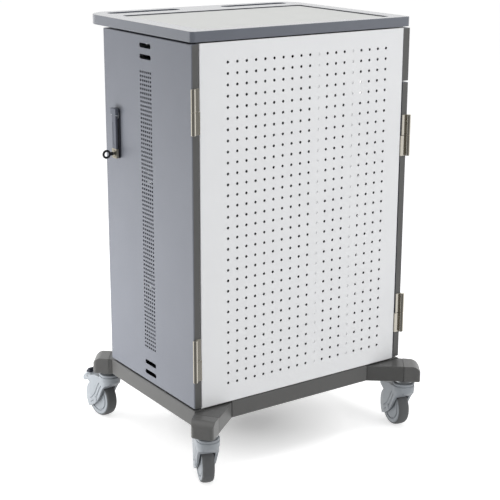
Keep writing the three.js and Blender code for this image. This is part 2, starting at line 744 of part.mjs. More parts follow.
// Front door with its swing handle: base, spindle, lever, lock plug, key and latch cam.
{
  const spindleHole = rod("y", spindleRadius + turning, -doorFace - 1, -doorBack, handleX, pivotZ);
  piece("front_door", cut(door(-1, doorTop, 2), spindleHole), "greyPaint");

  const baseOutline = roundedOutline(
    handleX - handleWidth / 2, handleX + handleWidth / 2, handleBottom, handleTop, handleCorner,
  );
  const base = prism(baseOutline, "y", -baseFace, -doorFace - seat, 4);
  const baseBore = rod("y", spindleRadius + turning, -baseFace - 1, -doorFace, handleX, pivotZ);
  piece("handle_base", cut(base, baseBore), "greyPlastic");

  const shaftEnd = -camBack + camThickness + 1.5;
  const shaft = rod("y", spindleRadius, -baseFace - 1, shaftEnd, handleX, pivotZ);
  const disc = rod("y", yokeDiscRadius, -yokeFace, -baseFace - seat, handleX, pivotZ, 24);
  const earGap = leverWidth / 2 + seat;
  const ears = [-1, 1].map((sign) => {
    const [e0, e1] = [handleX + sign * earGap, handleX + sign * (earGap + yokeEarThickness)];
    return box(e0, e1, -pivotY - yokeEarHalf, -yokeFace + 0.5, pivotZ - yokeEarHalf, pivotZ + yokeEarHalf);
  });
  const reach = earGap + yokeEarThickness;
  const [left, right] = [handleX - reach, handleX + reach];
  const trunnionBore = rod("x", trunnionRadius + turning, left - 1, right + 1, -pivotY, pivotZ);
  piece("handle_spindle", cut(join(shaft, disc, ...ears), trunnionBore), "steel");

  // The latch is drawn back: the cam stands up and turns out behind the side panel's front flange.
  const camOutline = roundedOutline(
    handleX - camWidth / 2, handleX + camWidth / 2, pivotZ - camWidth / 2, pivotZ + frontCamReach,
    camWidth / 2 - 1,
  );
  const cam = prism(camOutline, "y", -camBack, -camBack + camThickness, 4);
  const camBore = rod("y", spindleRadius + seat, -camBack - 1, -camBack + camThickness + 1, handleX, pivotZ);
  piece("front_latch_cam", cut(cam, camBore), "steel");

  const leverOutline = new THREE.Shape();
  const endRadius = leverThickness / 2;
  leverOutline.moveTo(-leverBack, lockZ);
  leverOutline.lineTo(-leverBack, pivotZ);
  leverOutline.absarc(-pivotY, pivotZ, endRadius, 0, Math.PI);
  leverOutline.lineTo(-leverFace, lockZ);
  const bar = prism(leverOutline, "x", handleX - leverWidth / 2, handleX + leverWidth / 2, 6);
  const head = rod("y", lockHeadRadius, -leverFace, -leverBack, handleX, lockZ, 24);
  const trunnion = rod("x", trunnionRadius, left, right, -pivotY, pivotZ);
  const plugBack = leverBack + lockPlugFloor;
  const plugBore = rod("y", lockPlugRadius + turning, -leverFace - 1, -plugBack + seat, handleX, lockZ);
  piece("handle_lever", cut(join(bar, head, trunnion), plugBore), "greyPlastic");

  const plugFace = leverFace + lockPlugProud;
  const plug = rod("y", lockPlugRadius, -plugFace, -plugBack, handleX, lockZ);
  const keyway = box(
    handleX - keyThickness / 2 - seat, handleX + keyThickness / 2 + seat, -plugFace - 1,
    -plugFace + keyBladeDepth, lockZ - keyBladeHalf - seat, lockZ + keyBladeHalf + seat,
  );
  piece("front_lock_plug", cut(plug, keyway), "steel");

  const x0 = handleX - keyThickness / 2;
  const x1 = handleX + keyThickness / 2;
  const bowY = -plugFace - keyNeck - keyBowRadius;
  const bladeTip = -plugFace + keyBladeDepth - seat;
  const blade = box(x0, x1, bowY + keyBowHole + 1, bladeTip, lockZ - keyBladeHalf, lockZ + keyBladeHalf);
  const bow = rod("x", keyBowRadius, x0, x1, bowY, lockZ, 20);
  const hole = rod("x", keyBowHole, x0 - 1, x1 + 1, bowY, lockZ, 20);
  piece("front_key", cut(join(blade, bow), hole), "blackPlastic");
}

// Back door with a cam lock.
{
  const x = -(halfWidth - backLockInset);
  const z = doorBottom + backLockHeight;
  const hole = rod("y", backLockBarrel + seat, doorBack, doorFace + 1, x, z);
  piece("back_door", cut(door(1, backDoorTop, 2), hole), "greyPaint");

  const barrel = rod("y", backLockBarrel, camBack - seat, doorFace + 1, x, z);
  const flange = rod("y", backLockFlange, doorFace + seat, doorFace + seat + 3, x, z, 24);
  piece("back_lock_plug", join(barrel, flange), "steel");

  const outline = roundedOutline(
    x - camWidth / 2, x + camWidth / 2, z - backCamReach, z + camWidth / 2, camWidth / 2 - 1,
  );
  const camFace = camBack - 2 * seat;
  piece("back_lock_cam", prism(outline, "y", camFace - camThickness, camFace, 4), "steel");
}

export default cart;
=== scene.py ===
import bpy
import bmesh
import json
import math
from mathutils import Matrix, Vector
from mathutils.geometry import delaunay_2d_cdt


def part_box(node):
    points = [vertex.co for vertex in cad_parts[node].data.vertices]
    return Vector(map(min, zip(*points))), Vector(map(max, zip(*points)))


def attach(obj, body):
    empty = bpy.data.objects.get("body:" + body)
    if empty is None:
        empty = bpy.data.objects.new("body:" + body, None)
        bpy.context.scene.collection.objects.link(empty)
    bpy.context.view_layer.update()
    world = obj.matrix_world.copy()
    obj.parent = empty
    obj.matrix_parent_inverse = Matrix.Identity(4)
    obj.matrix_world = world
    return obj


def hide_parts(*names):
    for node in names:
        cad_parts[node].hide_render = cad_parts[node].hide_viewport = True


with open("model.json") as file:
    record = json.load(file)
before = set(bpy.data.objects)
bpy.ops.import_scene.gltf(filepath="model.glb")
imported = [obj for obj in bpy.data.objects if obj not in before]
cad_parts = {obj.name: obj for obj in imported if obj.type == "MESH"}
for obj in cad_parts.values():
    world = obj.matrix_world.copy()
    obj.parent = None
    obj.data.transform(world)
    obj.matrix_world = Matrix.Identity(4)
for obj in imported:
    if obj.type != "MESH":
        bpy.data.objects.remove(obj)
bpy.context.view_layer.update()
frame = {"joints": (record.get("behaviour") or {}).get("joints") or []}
jointAt = {joint["name"]: Vector(joint["pos_m"]) * 1000 for joint in frame["joints"]}


# finishes
def hexToLinear(colour):
    channels = [int(colour[i:i + 2], 16) / 255 for i in (1, 3, 5)]
    return [c / 12.92 if c <= 0.04045 else ((c + 0.055) / 1.055) ** 2.4 for c in channels] + [1.0]


def addNode(tree, kind, settings=None, links=None):
    node = tree.nodes.new(kind)
    for key, value in (settings or {}).items():
        if isinstance(key, str) and hasattr(node, key):
            setattr(node, key, value)
        else:
            node.inputs[key].default_value = value
    for key, source in (links or {}).items():
        tree.links.new(source, node.inputs[key])
    return node


def emptyTree(owner):
    owner.use_nodes = True
    owner.node_tree.nodes.clear()
    return owner.node_tree


grainDepth = 0.0001  # bump height in metres for a grain of one millimetre


def makeFinish(name, look):
    material = bpy.data.materials.new(name)
    tree = emptyTree(material)
    where = addNode(tree, "ShaderNodeTexCoord").outputs["Object"]
    run = addNode(tree, "ShaderNodeMapping", {"Scale": look.get("stretch", (1, 1, 1))}, {"Vector": where})
    tone = addNode(tree, "ShaderNodeTexNoise", {
        "Scale": 1000 / look["mottleMm"], "Detail": 4.0,
    }, {"Vector": where})
    tint = addNode(tree, "ShaderNodeMix", {
        "data_type": "RGBA", 6: hexToLinear(look["colour"]), 7: hexToLinear(look["shade"]),
    }, {0: tone.outputs["Fac"]})
    grain = addNode(tree, "ShaderNodeTexNoise", {
        "Scale": 1000 / look["grainMm"], "Detail": 3.0, "Roughness": 0.6,
    }, {"Vector": run.outputs["Vector"]})
    rough = addNode(tree, "ShaderNodeMapRange", {
        "To Min": look["rough"][0], "To Max": look["rough"][1],
    }, {"Value": grain.outputs["Fac"]})
    bump = addNode(tree, "ShaderNodeBump", {
        "Strength": look["bump"], "Distance": grainDepth * look["grainMm"],
    }, {"Height": grain.outputs["Fac"]})
    shader = addNode(tree, "ShaderNodeBsdfPrincipled", {"Metallic": look.get("metallic", 0.0)}, {
        "Base Color": tint.outputs[2], "Roughness": rough.outputs["Result"],
        "Normal": bump.outputs["Normal"],
    })
    if "ior" in look:
        shader.inputs["IOR"].default_value = look["ior"]
    if "coat" in look:
        shader.inputs["Coat Weight"].default_value = look["coat"]
        shader.inputs["Coat Roughness"].default_value = look["rough"][0]
    addNode(tree, "ShaderNodeOutputMaterial", {}, {"Surface": shader.outputs["BSDF"]})
    return {"material": material, "slot": look["slot"]}


finishes = {
    # powder coat on sheet steel: satin, with a faint orange peel, drawn coarser than its 1 mm to show
    "greyPowder": makeFinish("greyPowderCoat", {
        "slot": "grey_powder_coat", "colour": "#777A82", "shade": "#72757D", "mottleMm": 90,
        "grainMm": 3, "rough": (0.36, 0.5), "bump": 0.25, "ior": 1.5}),
    "darkPowder": makeFinish("darkPowderCoat", {
        "slot": "grey_powder_coat", "colour": "#5C5C5B", "shade": "#565655", "mottleMm": 90,
        "grainMm": 3, "rough": (0.28, 0.4), "bump": 0.25, "ior": 1.5}),
    "whitePowder": makeFinish("whitePowderCoat", {
        "slot": "white_powder_coat", "colour": "#E8E9EA", "shade": "#E3E4E6", "mottleMm": 120,
        "grainMm": 3, "rough": (0.38, 0.5), "bump": 0.2, "ior": 1.5}),
    # sprayed paint on die castings: a low sheen over a fine sand texture
    "castPaint": makeFinish("sprayedCasting", {
        "slot": "grey_painted_casting", "colour": "#575756", "shade": "#515150", "mottleMm": 40,
        "grainMm": 2, "rough": (0.28, 0.4), "bump": 0.3, "ior": 1.5}),
    # the end caps take the same paint a shade lighter: a painted highlight for the light on their rounded
    # noses
    "castCapPaintedLight": makeFinish("sprayedEndCapPaintedLight", {
        "slot": "grey_painted_casting", "colour": "#626261", "shade": "#5C5C5B", "mottleMm": 40,
        "grainMm": 2, "rough": (0.24, 0.34), "bump": 0.25, "ior": 1.5}),
    # moulded ABS from a polished tool: a smooth skin that mirrors pale surroundings at low angles
    "mouldedTop": makeFinish("mouldedAbs", {
        "slot": "grey_moulded_top", "colour": "#696D76", "shade": "#636770", "mottleMm": 70,
        "grainMm": 2, "rough": (0.17, 0.27), "bump": 0.12, "ior": 1.52, "coat": 0.7}),
    # calendered vinyl: pale, soft sheen
    "vinylMat": makeFinish("calenderedVinyl", {
        "slot": "pale_mat", "colour": "#C9CAC8", "shade": "#C2C3C1", "mottleMm": 60,
        "grainMm": 3, "rough": (0.4, 0.55), "bump": 0.2, "ior": 1.52}),
    # moulded nylon and polypropylene: pale and waxy
    "casterShell": makeFinish("mouldedNylon", {
        "slot": "pale_caster_plastic", "colour": "#989DA2", "shade": "#90959A", "mottleMm": 25,
        "grainMm": 2, "rough": (0.32, 0.45), "bump": 0.15, "ior": 1.53}),
    "wheelCore": makeFinish("mouldedPolypropylene", {
        "slot": "pale_caster_plastic", "colour": "#92979C", "shade": "#8A8F94", "mottleMm": 20,
        "grainMm": 2, "rough": (0.35, 0.5), "bump": 0.15, "ior": 1.49}),
    # thermoplastic rubber tread: matt, scuffed by the floor
    "tyre": makeFinish("thermoplasticRubber", {
        "slot": "grey_tyre", "colour": "#5F6162", "shade": "#58595A", "mottleMm": 15,
        "grainMm": 1.5, "rough": (0.55, 0.75), "bump": 0.4, "ior": 1.5}),
    # bright nickel over drawn steel: streaks along the length of the strip
    "nickel": makeFinish("brightNickelPlate", {
        "slot": "nickel_plated_steel", "colour": "#DDD8CD", "shade": "#CDC7BA", "mottleMm": 8,
        "grainMm": 2, "stretch": (1, 1, 0.04), "rough": (0.08, 0.16), "bump": 0.1, "metallic": 1.0}),
    # zinc plate and satin nickel: dull grey metal without streaks
    "zinc": makeFinish("zincPlate", {
        "slot": "nickel_plated_steel", "colour": "#D0D2D3", "shade": "#C2C5C7", "mottleMm": 10,
        "grainMm": 2, "rough": (0.28, 0.45), "bump": 0.15, "metallic": 1.0}),
    "lockNickel": makeFinish("satinNickelDieCast", {
        "slot": "nickel_plated_steel", "colour": "#BDB8A8", "shade": "#ABA696", "mottleMm": 8,
        "grainMm": 1.5, "rough": (0.28, 0.42), "bump": 0.15, "metallic": 1.0}),
    # drawn nylon bristle: fine streaks down the tuft, drawn coarser than its 0.2 mm to show
    "bristle": makeFinish("drawnNylonBristle", {
        "slot": "black_plastic", "colour": "#17181A", "shade": "#232527", "mottleMm": 5,
        "grainMm": 1.0, "stretch": (1, 1, 0.05), "rough": (0.5, 0.7), "bump": 0.5, "ior": 1.53}),
    # moulded ABS trim: an even, fine spark-eroded grain that takes the gloss off
    "blackAbs": makeFinish("mouldedBlackAbs", {
        "slot": "black_plastic", "colour": "#1E2023", "shade": "#26282B", "mottleMm": 20,
        "grainMm": 1.5, "rough": (0.38, 0.52), "bump": 0.2, "ior": 1.52}),
    "greyAbs": makeFinish("mouldedGreyAbs", {
        "slot": "grey_plastic", "colour": "#5B5F69", "shade": "#545862", "mottleMm": 20,
        "grainMm": 1.5, "rough": (0.36, 0.5), "bump": 0.2, "ior": 1.52}),
    "darkAbs": makeFinish("mouldedCharcoalAbs", {
        "slot": "grey_plastic", "colour": "#2C2F38", "shade": "#262932", "mottleMm": 20,
        "grainMm": 1.5, "rough": (0.4, 0.55), "bump": 0.2, "ior": 1.52}),
}
print("finishes:", len(finishes))


# outlines in millimetres: (y, z) across X, (x, z) across Y, (x, y) across Z
def arc(ca, cb, radius, start, end, steps):
    angles = [math.radians(start + (end - start) * i / steps) for i in range(steps + 1)]
    return [(ca + radius * math.cos(t), cb + radius * math.sin(t)) for t in angles]


def disc(ca, cb, radius, steps):
    return arc(ca, cb, radius, 0, 360, steps)[:-1]


def rect(a0, a1, b0, b1):
    return [(a0, b0), (a1, b0), (a1, b1), (a0, b1)]


def grown(box, by):
    return box[0] - by, box[1] + by, box[2] - by, box[3] + by


def rounded(a0, a1, b0, b1, radius, steps=5):
    r = radius if isinstance(radius, (list, tuple)) else [radius] * 4
    corners = ((a0 + r[0], b0 + r[0]), (a1 - r[1], b0 + r[1]),
               (a1 - r[2], b1 - r[2]), (a0 + r[3], b1 - r[3]))
    loop = []
    for (ca, cb), bend, start in zip(corners, r, (180, 270, 0, 90)):
        loop += arc(ca, cb, bend, start, start + 90, steps)
    return loop


def bezier(p0, p1, p2, p3, steps):
    points = []
    for i in range(steps + 1):
        t = i / steps
        weights = ((1 - t) ** 3, 3 * t * (1 - t) ** 2, 3 * t * t * (1 - t), t ** 3)
        points.append(tuple(sum(w * p[k] for w, p in zip(weights, (p0, p1, p2, p3))) for k in (0, 1)))
    return points


def clipLoop(loop, nx, ny, limit):
    kept = []
    for (ax, ay), (bx, by) in zip(loop, loop[1:] + loop[:1]):
        da, db = ax * nx + ay * ny - limit, bx * nx + by * ny - limit
        if da <= 0:
            kept.append((ax, ay))
        if da * db < 0:
            t = da / (da - db)
            kept.append((ax + (bx - ax) * t, ay + (by - ay) * t))
    return kept


# faces on a mesh being built, in millimetres
meshing = {"manyHoles": 12, "snap": 1e-5, "weld": 0.002, "sharpAngle": 0.6}


def spot(axis, a, b, level):
    return {"x": (level, a, b), "y": (a, level, b), "z": (a, b, level)}[axis]


# flat face with holes: triangles where there are many, else the fewest faces
def cap(shape, axis, level, outline, holes=()):
    points, loops = [], []
    for loop in [outline, *holes]:
        loops.append(list(range(len(points), len(points) + len(loop))))
        points += [Vector(p) for p in loop]
    kind = 2 if len(holes) > meshing["manyHoles"] else 5
    flat = delaunay_2d_cdt(points, [], loops, kind, meshing["snap"])
    corners = [shape.verts.new(spot(axis, p.x, p.y, level)) for p in flat[0]]
    for face in flat[2]:
        shape.faces.new([corners[i] for i in face])


def wall(shape, axis, loop, low, high, skip=()):
    for i, (p, q) in enumerate(zip(loop, loop[1:] + loop[:1])):
        if i not in skip:
            corners = [spot(axis, *p, low), spot(axis, *q, low), spot(axis, *q, high), spot(axis, *p, high)]
            shape.faces.new([shape.verts.new(c) for c in corners])


def slab(shape, axis, outline, low, high, holes=()):
    cap(shape, axis, low, outline, holes)
    cap(shape, axis, high, outline, holes)
    for loop in [outline, *holes]:
        wall(shape, axis, loop, low, high)


# folded pan: a face with holes, rims turned back from it, open at the back
def pan(shape, axis, outline, inside, face, floor, back, holes=()):
    cap(shape, axis, face, outline, holes)
    cap(shape, axis, floor, inside, holes)
    cap(shape, axis, back, outline, [inside])
    wall(shape, axis, outline, face, back)
    wall(shape, axis, inside, floor, back)
    for loop in holes:
        wall(shape, axis, loop, face, floor)


# profile of (radius, level) turned about an axis through a point
def spin(shape, axis, a, b, profile, steps, closed=False):
    rings = []
    for radius, level in profile:
        count = 1 if radius == 0 else steps
        rings.append([shape.verts.new(spot(axis, *p, level)) for p in disc(a, b, radius, steps)[:count]])
    pairs = list(zip(rings, rings[1:])) + ([(rings[-1], rings[0])] if closed else [])
    for low, high in pairs:
        for i in range(steps):
            j = (i + 1) % steps
            corners = [low[i % len(low)], low[j % len(low)], high[j % len(high)], high[i % len(high)]]
            shape.faces.new(list(dict.fromkeys(corners)))


def clean(shape):
    bmesh.ops.remove_doubles(shape, verts=shape.verts, dist=meshing["weld"])
    bmesh.ops.recalc_face_normals(shape, faces=shape.faces)


def addObject(name, data):
    thing = bpy.data.objects.new(name, data)
    bpy.context.scene.collection.objects.link(thing)
    return thing


def combine(shape, other, operation="DIFFERENCE"):
    works = []
    for source in (shape, other):
        clean(source)
        mesh = bpy.data.meshes.new("work")
        source.to_mesh(mesh)
        source.free()
        works.append(addObject("work", mesh))
    mix = works[0].modifiers.new("mix", "BOOLEAN")
    mix.operation, mix.solver, mix.object = operation, "EXACT", works[1]
    depsgraph = bpy.context.evaluated_depsgraph_get()
    mixed = bmesh.new()
    mixed.from_mesh(works[0].evaluated_get(depsgraph).to_mesh())
    for work in works:
        bpy.data.objects.remove(work)
    return mixed


# soft is the width of the rounded edges, and ease gives an edge's share of it by its middle
def makePiece(name, shape, finish, body, nodes, soft, steps=2, ease=None, turn=None, clamp=True):
    clean(shape)
    weight = shape.edges.layers.float.new("bevel_weight_edge")
    for edge in shape.edges:
        if len(edge.link_faces) == 2 and edge.calc_face_angle(0) > meshing["sharpAngle"]:
            edge[weight] = ease((edge.verts[0].co + edge.verts[1].co) / 2) if ease else 1.0
    if turn:
        bmesh.ops.transform(shape, matrix=turn, verts=shape.verts)
    bmesh.ops.scale(shape, vec=(0.001, 0.001, 0.001), verts=shape.verts)
    mesh = bpy.data.meshes.new(name)
    shape.to_mesh(mesh)
    shape.free()
    mesh.polygons.foreach_set("use_smooth", [True] * len(mesh.polygons))
    mesh.set_sharp_from_angle(angle=meshing["sharpAngle"])
    mesh.materials.append(finishes[finish]["material"])
    piece = addObject(name, mesh)
    if soft:
        bevel = piece.modifiers.new("edges", "BEVEL")
        bevel.width, bevel.segments = soft * 0.001, steps
        bevel.limit_method, bevel.use_clamp_overlap = "WEIGHT", clamp
        # flat faces stay flat beside round edges
        piece.modifiers.new("flats", "WEIGHTED_NORMAL").keep_sharp = True
    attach(piece, body)
    if nodes:
        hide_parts(*nodes)


# box of a CAD node in millimetres: x from and to, then y, then z
def extent(node):
    low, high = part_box(node)
    return [v * 1000 for pair in zip(low, high) for v in pair]


# whether an edge lies at one of the marks
def near(value, *marks):
    return min(abs(value - mark) for mark in marks) < 0.1


# side panels: perforated sheet with flanges, and the channel upright behind it
sidePanel = {"sheet": 1.5, "bend": 2.0, "edgeEase": 0.15, "fieldInset": (40, 20),
             "holePitch": 25.4, "holeColumns": 19, "holeRows": 31, "holeRadius": 3.45, "holeSides": 12,
             "firstColumn": -219, "firstRow": 233, "uprightY": 35, "uprightWidth": 20, "uprightDepth": 10,
             "uprightLow": 187, "uprightHigh": 1020, "uprightGap": 0.05}


def buildSidePanel(node, sign):
    s, t = sidePanel, sidePanel["sheet"]
    x0, x1, y0, y1, z0, z1 = extent(node)
    outer, edge = (x1, x0) if sign > 0 else (x0, x1)
    inner = outer - sign * t
    pitch, insetY, insetZ = s["holePitch"], *s["fieldInset"]
    holes = [disc(s["firstColumn"] + pitch * i, s["firstRow"] + pitch * j, s["holeRadius"], s["holeSides"])
             for i in range(s["holeColumns"]) for j in range(s["holeRows"])]
    shape = bmesh.new()
    cap(shape, "x", outer, rect(y0, y1, z0, z1), holes)
    cap(shape, "x", inner, rect(y0 + t, y1 - t, z0, z1), holes)
    for hole in holes:
        wall(shape, "x", hole, outer, inner)
    section = [(outer, y0), (outer, y1), (edge, y1), (edge, y1 - t),
               (inner, y1 - t), (inner, y0 + t), (edge, y0 + t), (edge, y0)]
    wall(shape, "z", section, z0, z1, skip=(0, 4))
    cap(shape, "z", z0, section)
    cap(shape, "z", z1, section)
    u0, u1 = s["uprightY"] - s["uprightWidth"] / 2, s["uprightY"] + s["uprightWidth"] / 2
    foot, crest = inner - sign * s["uprightGap"], inner - sign * s["uprightDepth"]
    web = foot - sign * t
    channel = [(foot, u0), (crest, u0), (crest, u0 + t), (web, u0 + t),
               (web, u1 - t), (crest, u1 - t), (crest, u1), (foot, u1)]
    slab(shape, "z", channel, s["uprightLow"], s["uprightHigh"])

    def bends(mid):
        if near(mid.x, outer) and near(mid.y, y0, y1):
            return 1.0
        inField = y0 + insetY < mid.y < y1 - insetY and z0 + insetZ < mid.z < z1 - insetZ
        return 0.0 if inField else s["edgeEase"]
    makePiece(node, shape, "whitePowder", "cabinet", [node], s["bend"], 3, bends)


buildSidePanel("right_side_panel", 1)
buildSidePanel("left_side_panel", -1)
print("side panels")


# doors: folded pans with a strip of round vents and rounded slots at head and foot
doorPan = {"sheet": 1.5, "bend": 2.2, "rimEase": 0.6, "ventRadius": 3.15, "ventSides": 10, "ventColumns": 6,
           "ventPitchX": 9.1, "ventPitchZ": 9.97, "ventFoot": 89.5, "ventHead": 84.5,
           "slotWidth": 52, "slotHeight": 11, "slotRadius": 4.5, "slotInset": 23, "slotPitch": 26,
           "shadeStrip": 0.24, "shadeStripGap": 0.02, "shadeStripInset": 1, "spindleBore": 5.6, "lockBore": 9.3}


def buildDoor(node, side, opening):
    s = doorPan
    x0, x1, y0, y1, z0, z1 = extent(node)
    face, back = (y0, y1) if side < 0 else (y1, y0)
    floor = face - side * s["sheet"]
    w, h = s["slotWidth"] / 2, s["slotHeight"] / 2
    holes = [opening]
    for k in (0, 1):
        offset = s["slotInset"] + k * s["slotPitch"]
        holes += [rounded(-w, w, z - h, z + h, s["slotRadius"], 4) for z in (z0 + offset, z1 - offset)]
    rows = int((z1 - z0 - s["ventFoot"] - s["ventHead"]) / s["ventPitchZ"]) + 1
    for i in range(s["ventColumns"]):
        x = (i - (s["ventColumns"] - 1) / 2) * s["ventPitchX"]
        holes += [disc(x, z0 + s["ventFoot"] + j * s["ventPitchZ"], s["ventRadius"], s["ventSides"])
                  for j in range(rows)]
    shape, outline = bmesh.new(), (x0, x1, z0, z1)
    pan(shape, "y", rect(*outline), rect(*grown(outline, -s["sheet"])), face, floor, back, holes)

    def bends(mid):
        if not near(mid.x, x0, x1) and not near(mid.z, z0, z1):
            return 0.0
        if near(mid.y, face):
            return 1.0
        return s["rimEase"] if abs(mid.y - back) > 1 else 0.0
    makePiece(node, shape, "greyPowder", node, [node], s["bend"], 3, bends)
    # painted shade down the hinged side, as a thin dark sheet
    paintShadeStrip(node, node, x1, sorted((face - side * s["bend"], back)), z0, z1)


# thin dark sheet down the side of the hinged edge: painted shade where that side lies in shadow
def paintShadeStrip(node, body, edge, depth, low, high):
    s, shape = doorPan, bmesh.new()
    slab(shape, "z", rect(edge + s["shadeStripGap"], edge + s["shadeStrip"], *depth),
         low + s["shadeStripInset"], high - s["shadeStripInset"])
    makePiece(node + "PaintedShadeStrip", shape, "darkPowder", body, (), 0)


handleX, pivotZ = jointAt["handle_turn"].x, jointAt["handle_turn"].z
backLockX, backLockZ = jointAt["back_lock_turn"].x, jointAt["back_lock_turn"].z
buildDoor("front_door", -1, disc(handleX, pivotZ, doorPan["spindleBore"], 20))
buildDoor("back_door", 1, disc(backLockX, backLockZ, doorPan["lockBore"], 20))
print("doors")

# fixed panel above the back door, with the power inlet
backPanel = {"sheet": 1.5, "bend": 2.2}
inlet = {"body": (-134, -106, 965, 985), "bodyRadius": 2, "clear": 0.3, "wall": 2, "socketRadius": 3,
         "depth": 17, "flange": 1.5, "flangeRadius": 4, "flangeGap": 0.1, "edge": 0.6, "pinEdge": 0.3,
         "pins": ((-125, 973), (-115, 973), (-120, 978)), "pinHalf": (1, 2), "pinLength": 12}
x0, x1, y0, panelFace, panelFoot, panelHead = extent("upper_back_panel")
panelSide, outline = x1, (x0, x1, panelFoot, panelHead)
shape = bmesh.new()
pan(shape, "y", rect(*outline), rect(*grown(outline, -backPanel["sheet"])), panelFace,
    panelFace - backPanel["sheet"], y0, [rect(*grown(inlet["body"], inlet["clear"]))])
makePiece("upper_back_panel", shape, "greyPowder", "cabinet", ["upper_back_panel"], backPanel["bend"], 3,
          lambda mid: float(near(mid.y, panelFace) and (
              near(abs(mid.x), panelSide) or near(mid.z, panelFoot, panelHead))))
# its side edge takes the same thin dark sheet, painted shade
paintShadeStrip("upper_back_panel", "cabinet", x1, (y0, panelFace - backPanel["bend"]), panelFoot, panelHead)

x0, x1, y0, y1, z0, z1 = extent("power_inlet")
socket = rounded(*grown(inlet["body"], -inlet["wall"]), inlet["socketRadius"])
bottom, flangeBack = y1 - inlet["depth"], y1 - inlet["flange"]
shape = bmesh.new()
slab(shape, "y", rounded(x0, x1, z0, z1, inlet["flangeRadius"]), flangeBack, y1, [socket])
pan(shape, "y", rounded(*inlet["body"], inlet["bodyRadius"]), socket,
    y0, bottom, flangeBack - inlet["flangeGap"])
makePiece("power_inlet", shape, "blackAbs", "cabinet", ["power_inlet"], inlet["edge"])
shape = bmesh.new()
for x, z in inlet["pins"]:
    w, h = inlet["pinHalf"]
    slab(shape, "y", rect(x - w, x + w, z - h, z + h), bottom, bottom + inlet["pinLength"])
makePiece("inletPins", shape, "zinc", "cabinet", (), inlet["pinEdge"])
print("back panel and inlet")

# inside: decks, partition, shelves, divider racks and power strips
inside = {"sheet": 1.5, "gap": 0.01, "edge": 0.5, "shelfEdge": 0.6,
          "floorSheet": 3.0, "floorFlangeIn": 28.5, "floorReach": 283.7}
for node in ("floor_deck", "roof_deck"):
    x0, x1, y0, y1, z0, z1 = extent(node)
    thickness, flange, reach = inside["sheet"], x1, y1
    if node == "floor_deck":
        thickness, flange, reach = inside["floorSheet"], x1 - inside["floorFlangeIn"], inside["floorReach"]
    shape = bmesh.new()
    slab(shape, "z", rect(x0, x1, y0, y1), z1 - thickness, z1)
    for sign in (-1, 1):
        a, b = sorted((sign * flange, sign * (flange - inside["sheet"])))
        slab(shape, "z", rect(a, b, -reach, reach), z0, z1 - thickness - inside["gap"])
    makePiece(node, shape, "darkPowder", "cabinet", [node], inside["edge"])

partition = {"bays": 3, "headGap": 0.3, "tongueIn": 2, "tongueGap": 0.02, "tongueSkin": 0.2, "edge": 0.4,
             "slotHalf": 130, "slotFoot": 86, "slotHead": 46, "slotRadius": 13.3,
             "trimOut": 2.5, "trimOutRadius": 15.5, "trimIn": 1.5, "trimInRadius": 12,
             "trimProud": 1.0, "trimGap": 0.05, "trimEdge": 0.3}
x0, x1, y0, y1, z0, z1 = extent("partition")
roofUnder, deckTop = extent("roof_deck")[4], extent("floor_deck")[5]
sheetHead, sheetBack, skin = roofUnder - partition["headGap"], y0 + inside["sheet"], partition["tongueSkin"]
bayPitch = (roofUnder - deckTop) / partition["bays"]
cableSlots = []
for bay in range(1, partition["bays"] + 1):
    bayTop, half = deckTop + bay * bayPitch, partition["slotHalf"]
    cableSlots.append((-half, half, bayTop - partition["slotFoot"], bayTop - partition["slotHead"]))
shape = bmesh.new()
slab(shape, "y", rect(x0, x1, z0, sheetHead), y0, sheetBack,
     [rounded(*slot, partition["slotRadius"]) for slot in cableSlots])
a, b = x0 + partition["tongueIn"], x1 - partition["tongueIn"]
slab(shape, "y", rect(a, b, sheetHead + partition["tongueGap"], z1), y0 + skin, sheetBack - skin)
makePiece("partition", shape, "darkPowder", "cabinet", ["partition"], partition["edge"])
# white flanges, which close one column of the side panels' holes
shape = bmesh.new()
for a, b in ((x0, x0 + inside["sheet"]), (x1 - inside["sheet"], x1)):
    slab(shape, "z", rect(a, b, sheetBack + inside["gap"], y1), z0, sheetHead)
makePiece("partitionFlanges", shape, "whitePowder", "cabinet", (), partition["edge"])
# trims round the cable slots, and brushes that hang over them from a rail
brush = {"half": 134, "rail": 4, "rootRise": 1, "lap": 3, "pitch": 4.0, "gap": 0.5, "thickness": 1.2}
shape, combs = bmesh.new(), bmesh.new()
tufts = round(2 * brush["half"] / brush["pitch"])
for slot in cableSlots:
    slab(shape, "y", rounded(*grown(slot, partition["trimOut"]), partition["trimOutRadius"]),
         y0 - partition["trimProud"], y0 - partition["trimGap"],
         [rounded(*grown(slot, -partition["trimIn"]), partition["trimInRadius"])])
    foot, root, railTop = slot[2] - brush["lap"], slot[3] + brush["rootRise"], slot[3] + brush["rail"]
    comb = [(brush["half"], railTop), (-brush["half"], railTop)]
    for i in range(tufts):
        a = -brush["half"] + i * brush["pitch"]
        b = a + brush["pitch"]
        tip = b - brush["gap"]
        last = i == tufts - 1
        comb += [(a, foot), (b, foot)] if last else [(a, foot), (tip, foot), (tip, root), (b, root)]
    combBack = sheetBack + inside["gap"]
    slab(combs, "y", comb, combBack, combBack + brush["thickness"])
makePiece("cableSlotTrims", shape, "blackAbs", "cabinet", (), partition["trimEdge"])
makePiece("cableBrushes", combs, "bristle", "cabinet", (), 0)

for node in ("middle_shelf", "upper_shelf"):
    x0, x1, y0, y1, z0, z1 = extent(node)
    t = inside["sheet"]
    section = [(y0, z0), (y0 + t, z0), (y0 + t, z1 - t), (y1 - t, z1 - t),
               (y1 - t, z0), (y1, z0), (y1, z1), (y0, z1)]
    shape = bmesh.new()
    slab(shape, "x", section, x0, x1)
    makePiece(node, shape, "darkPowder", "cabinet", [node], inside["shelfEdge"])

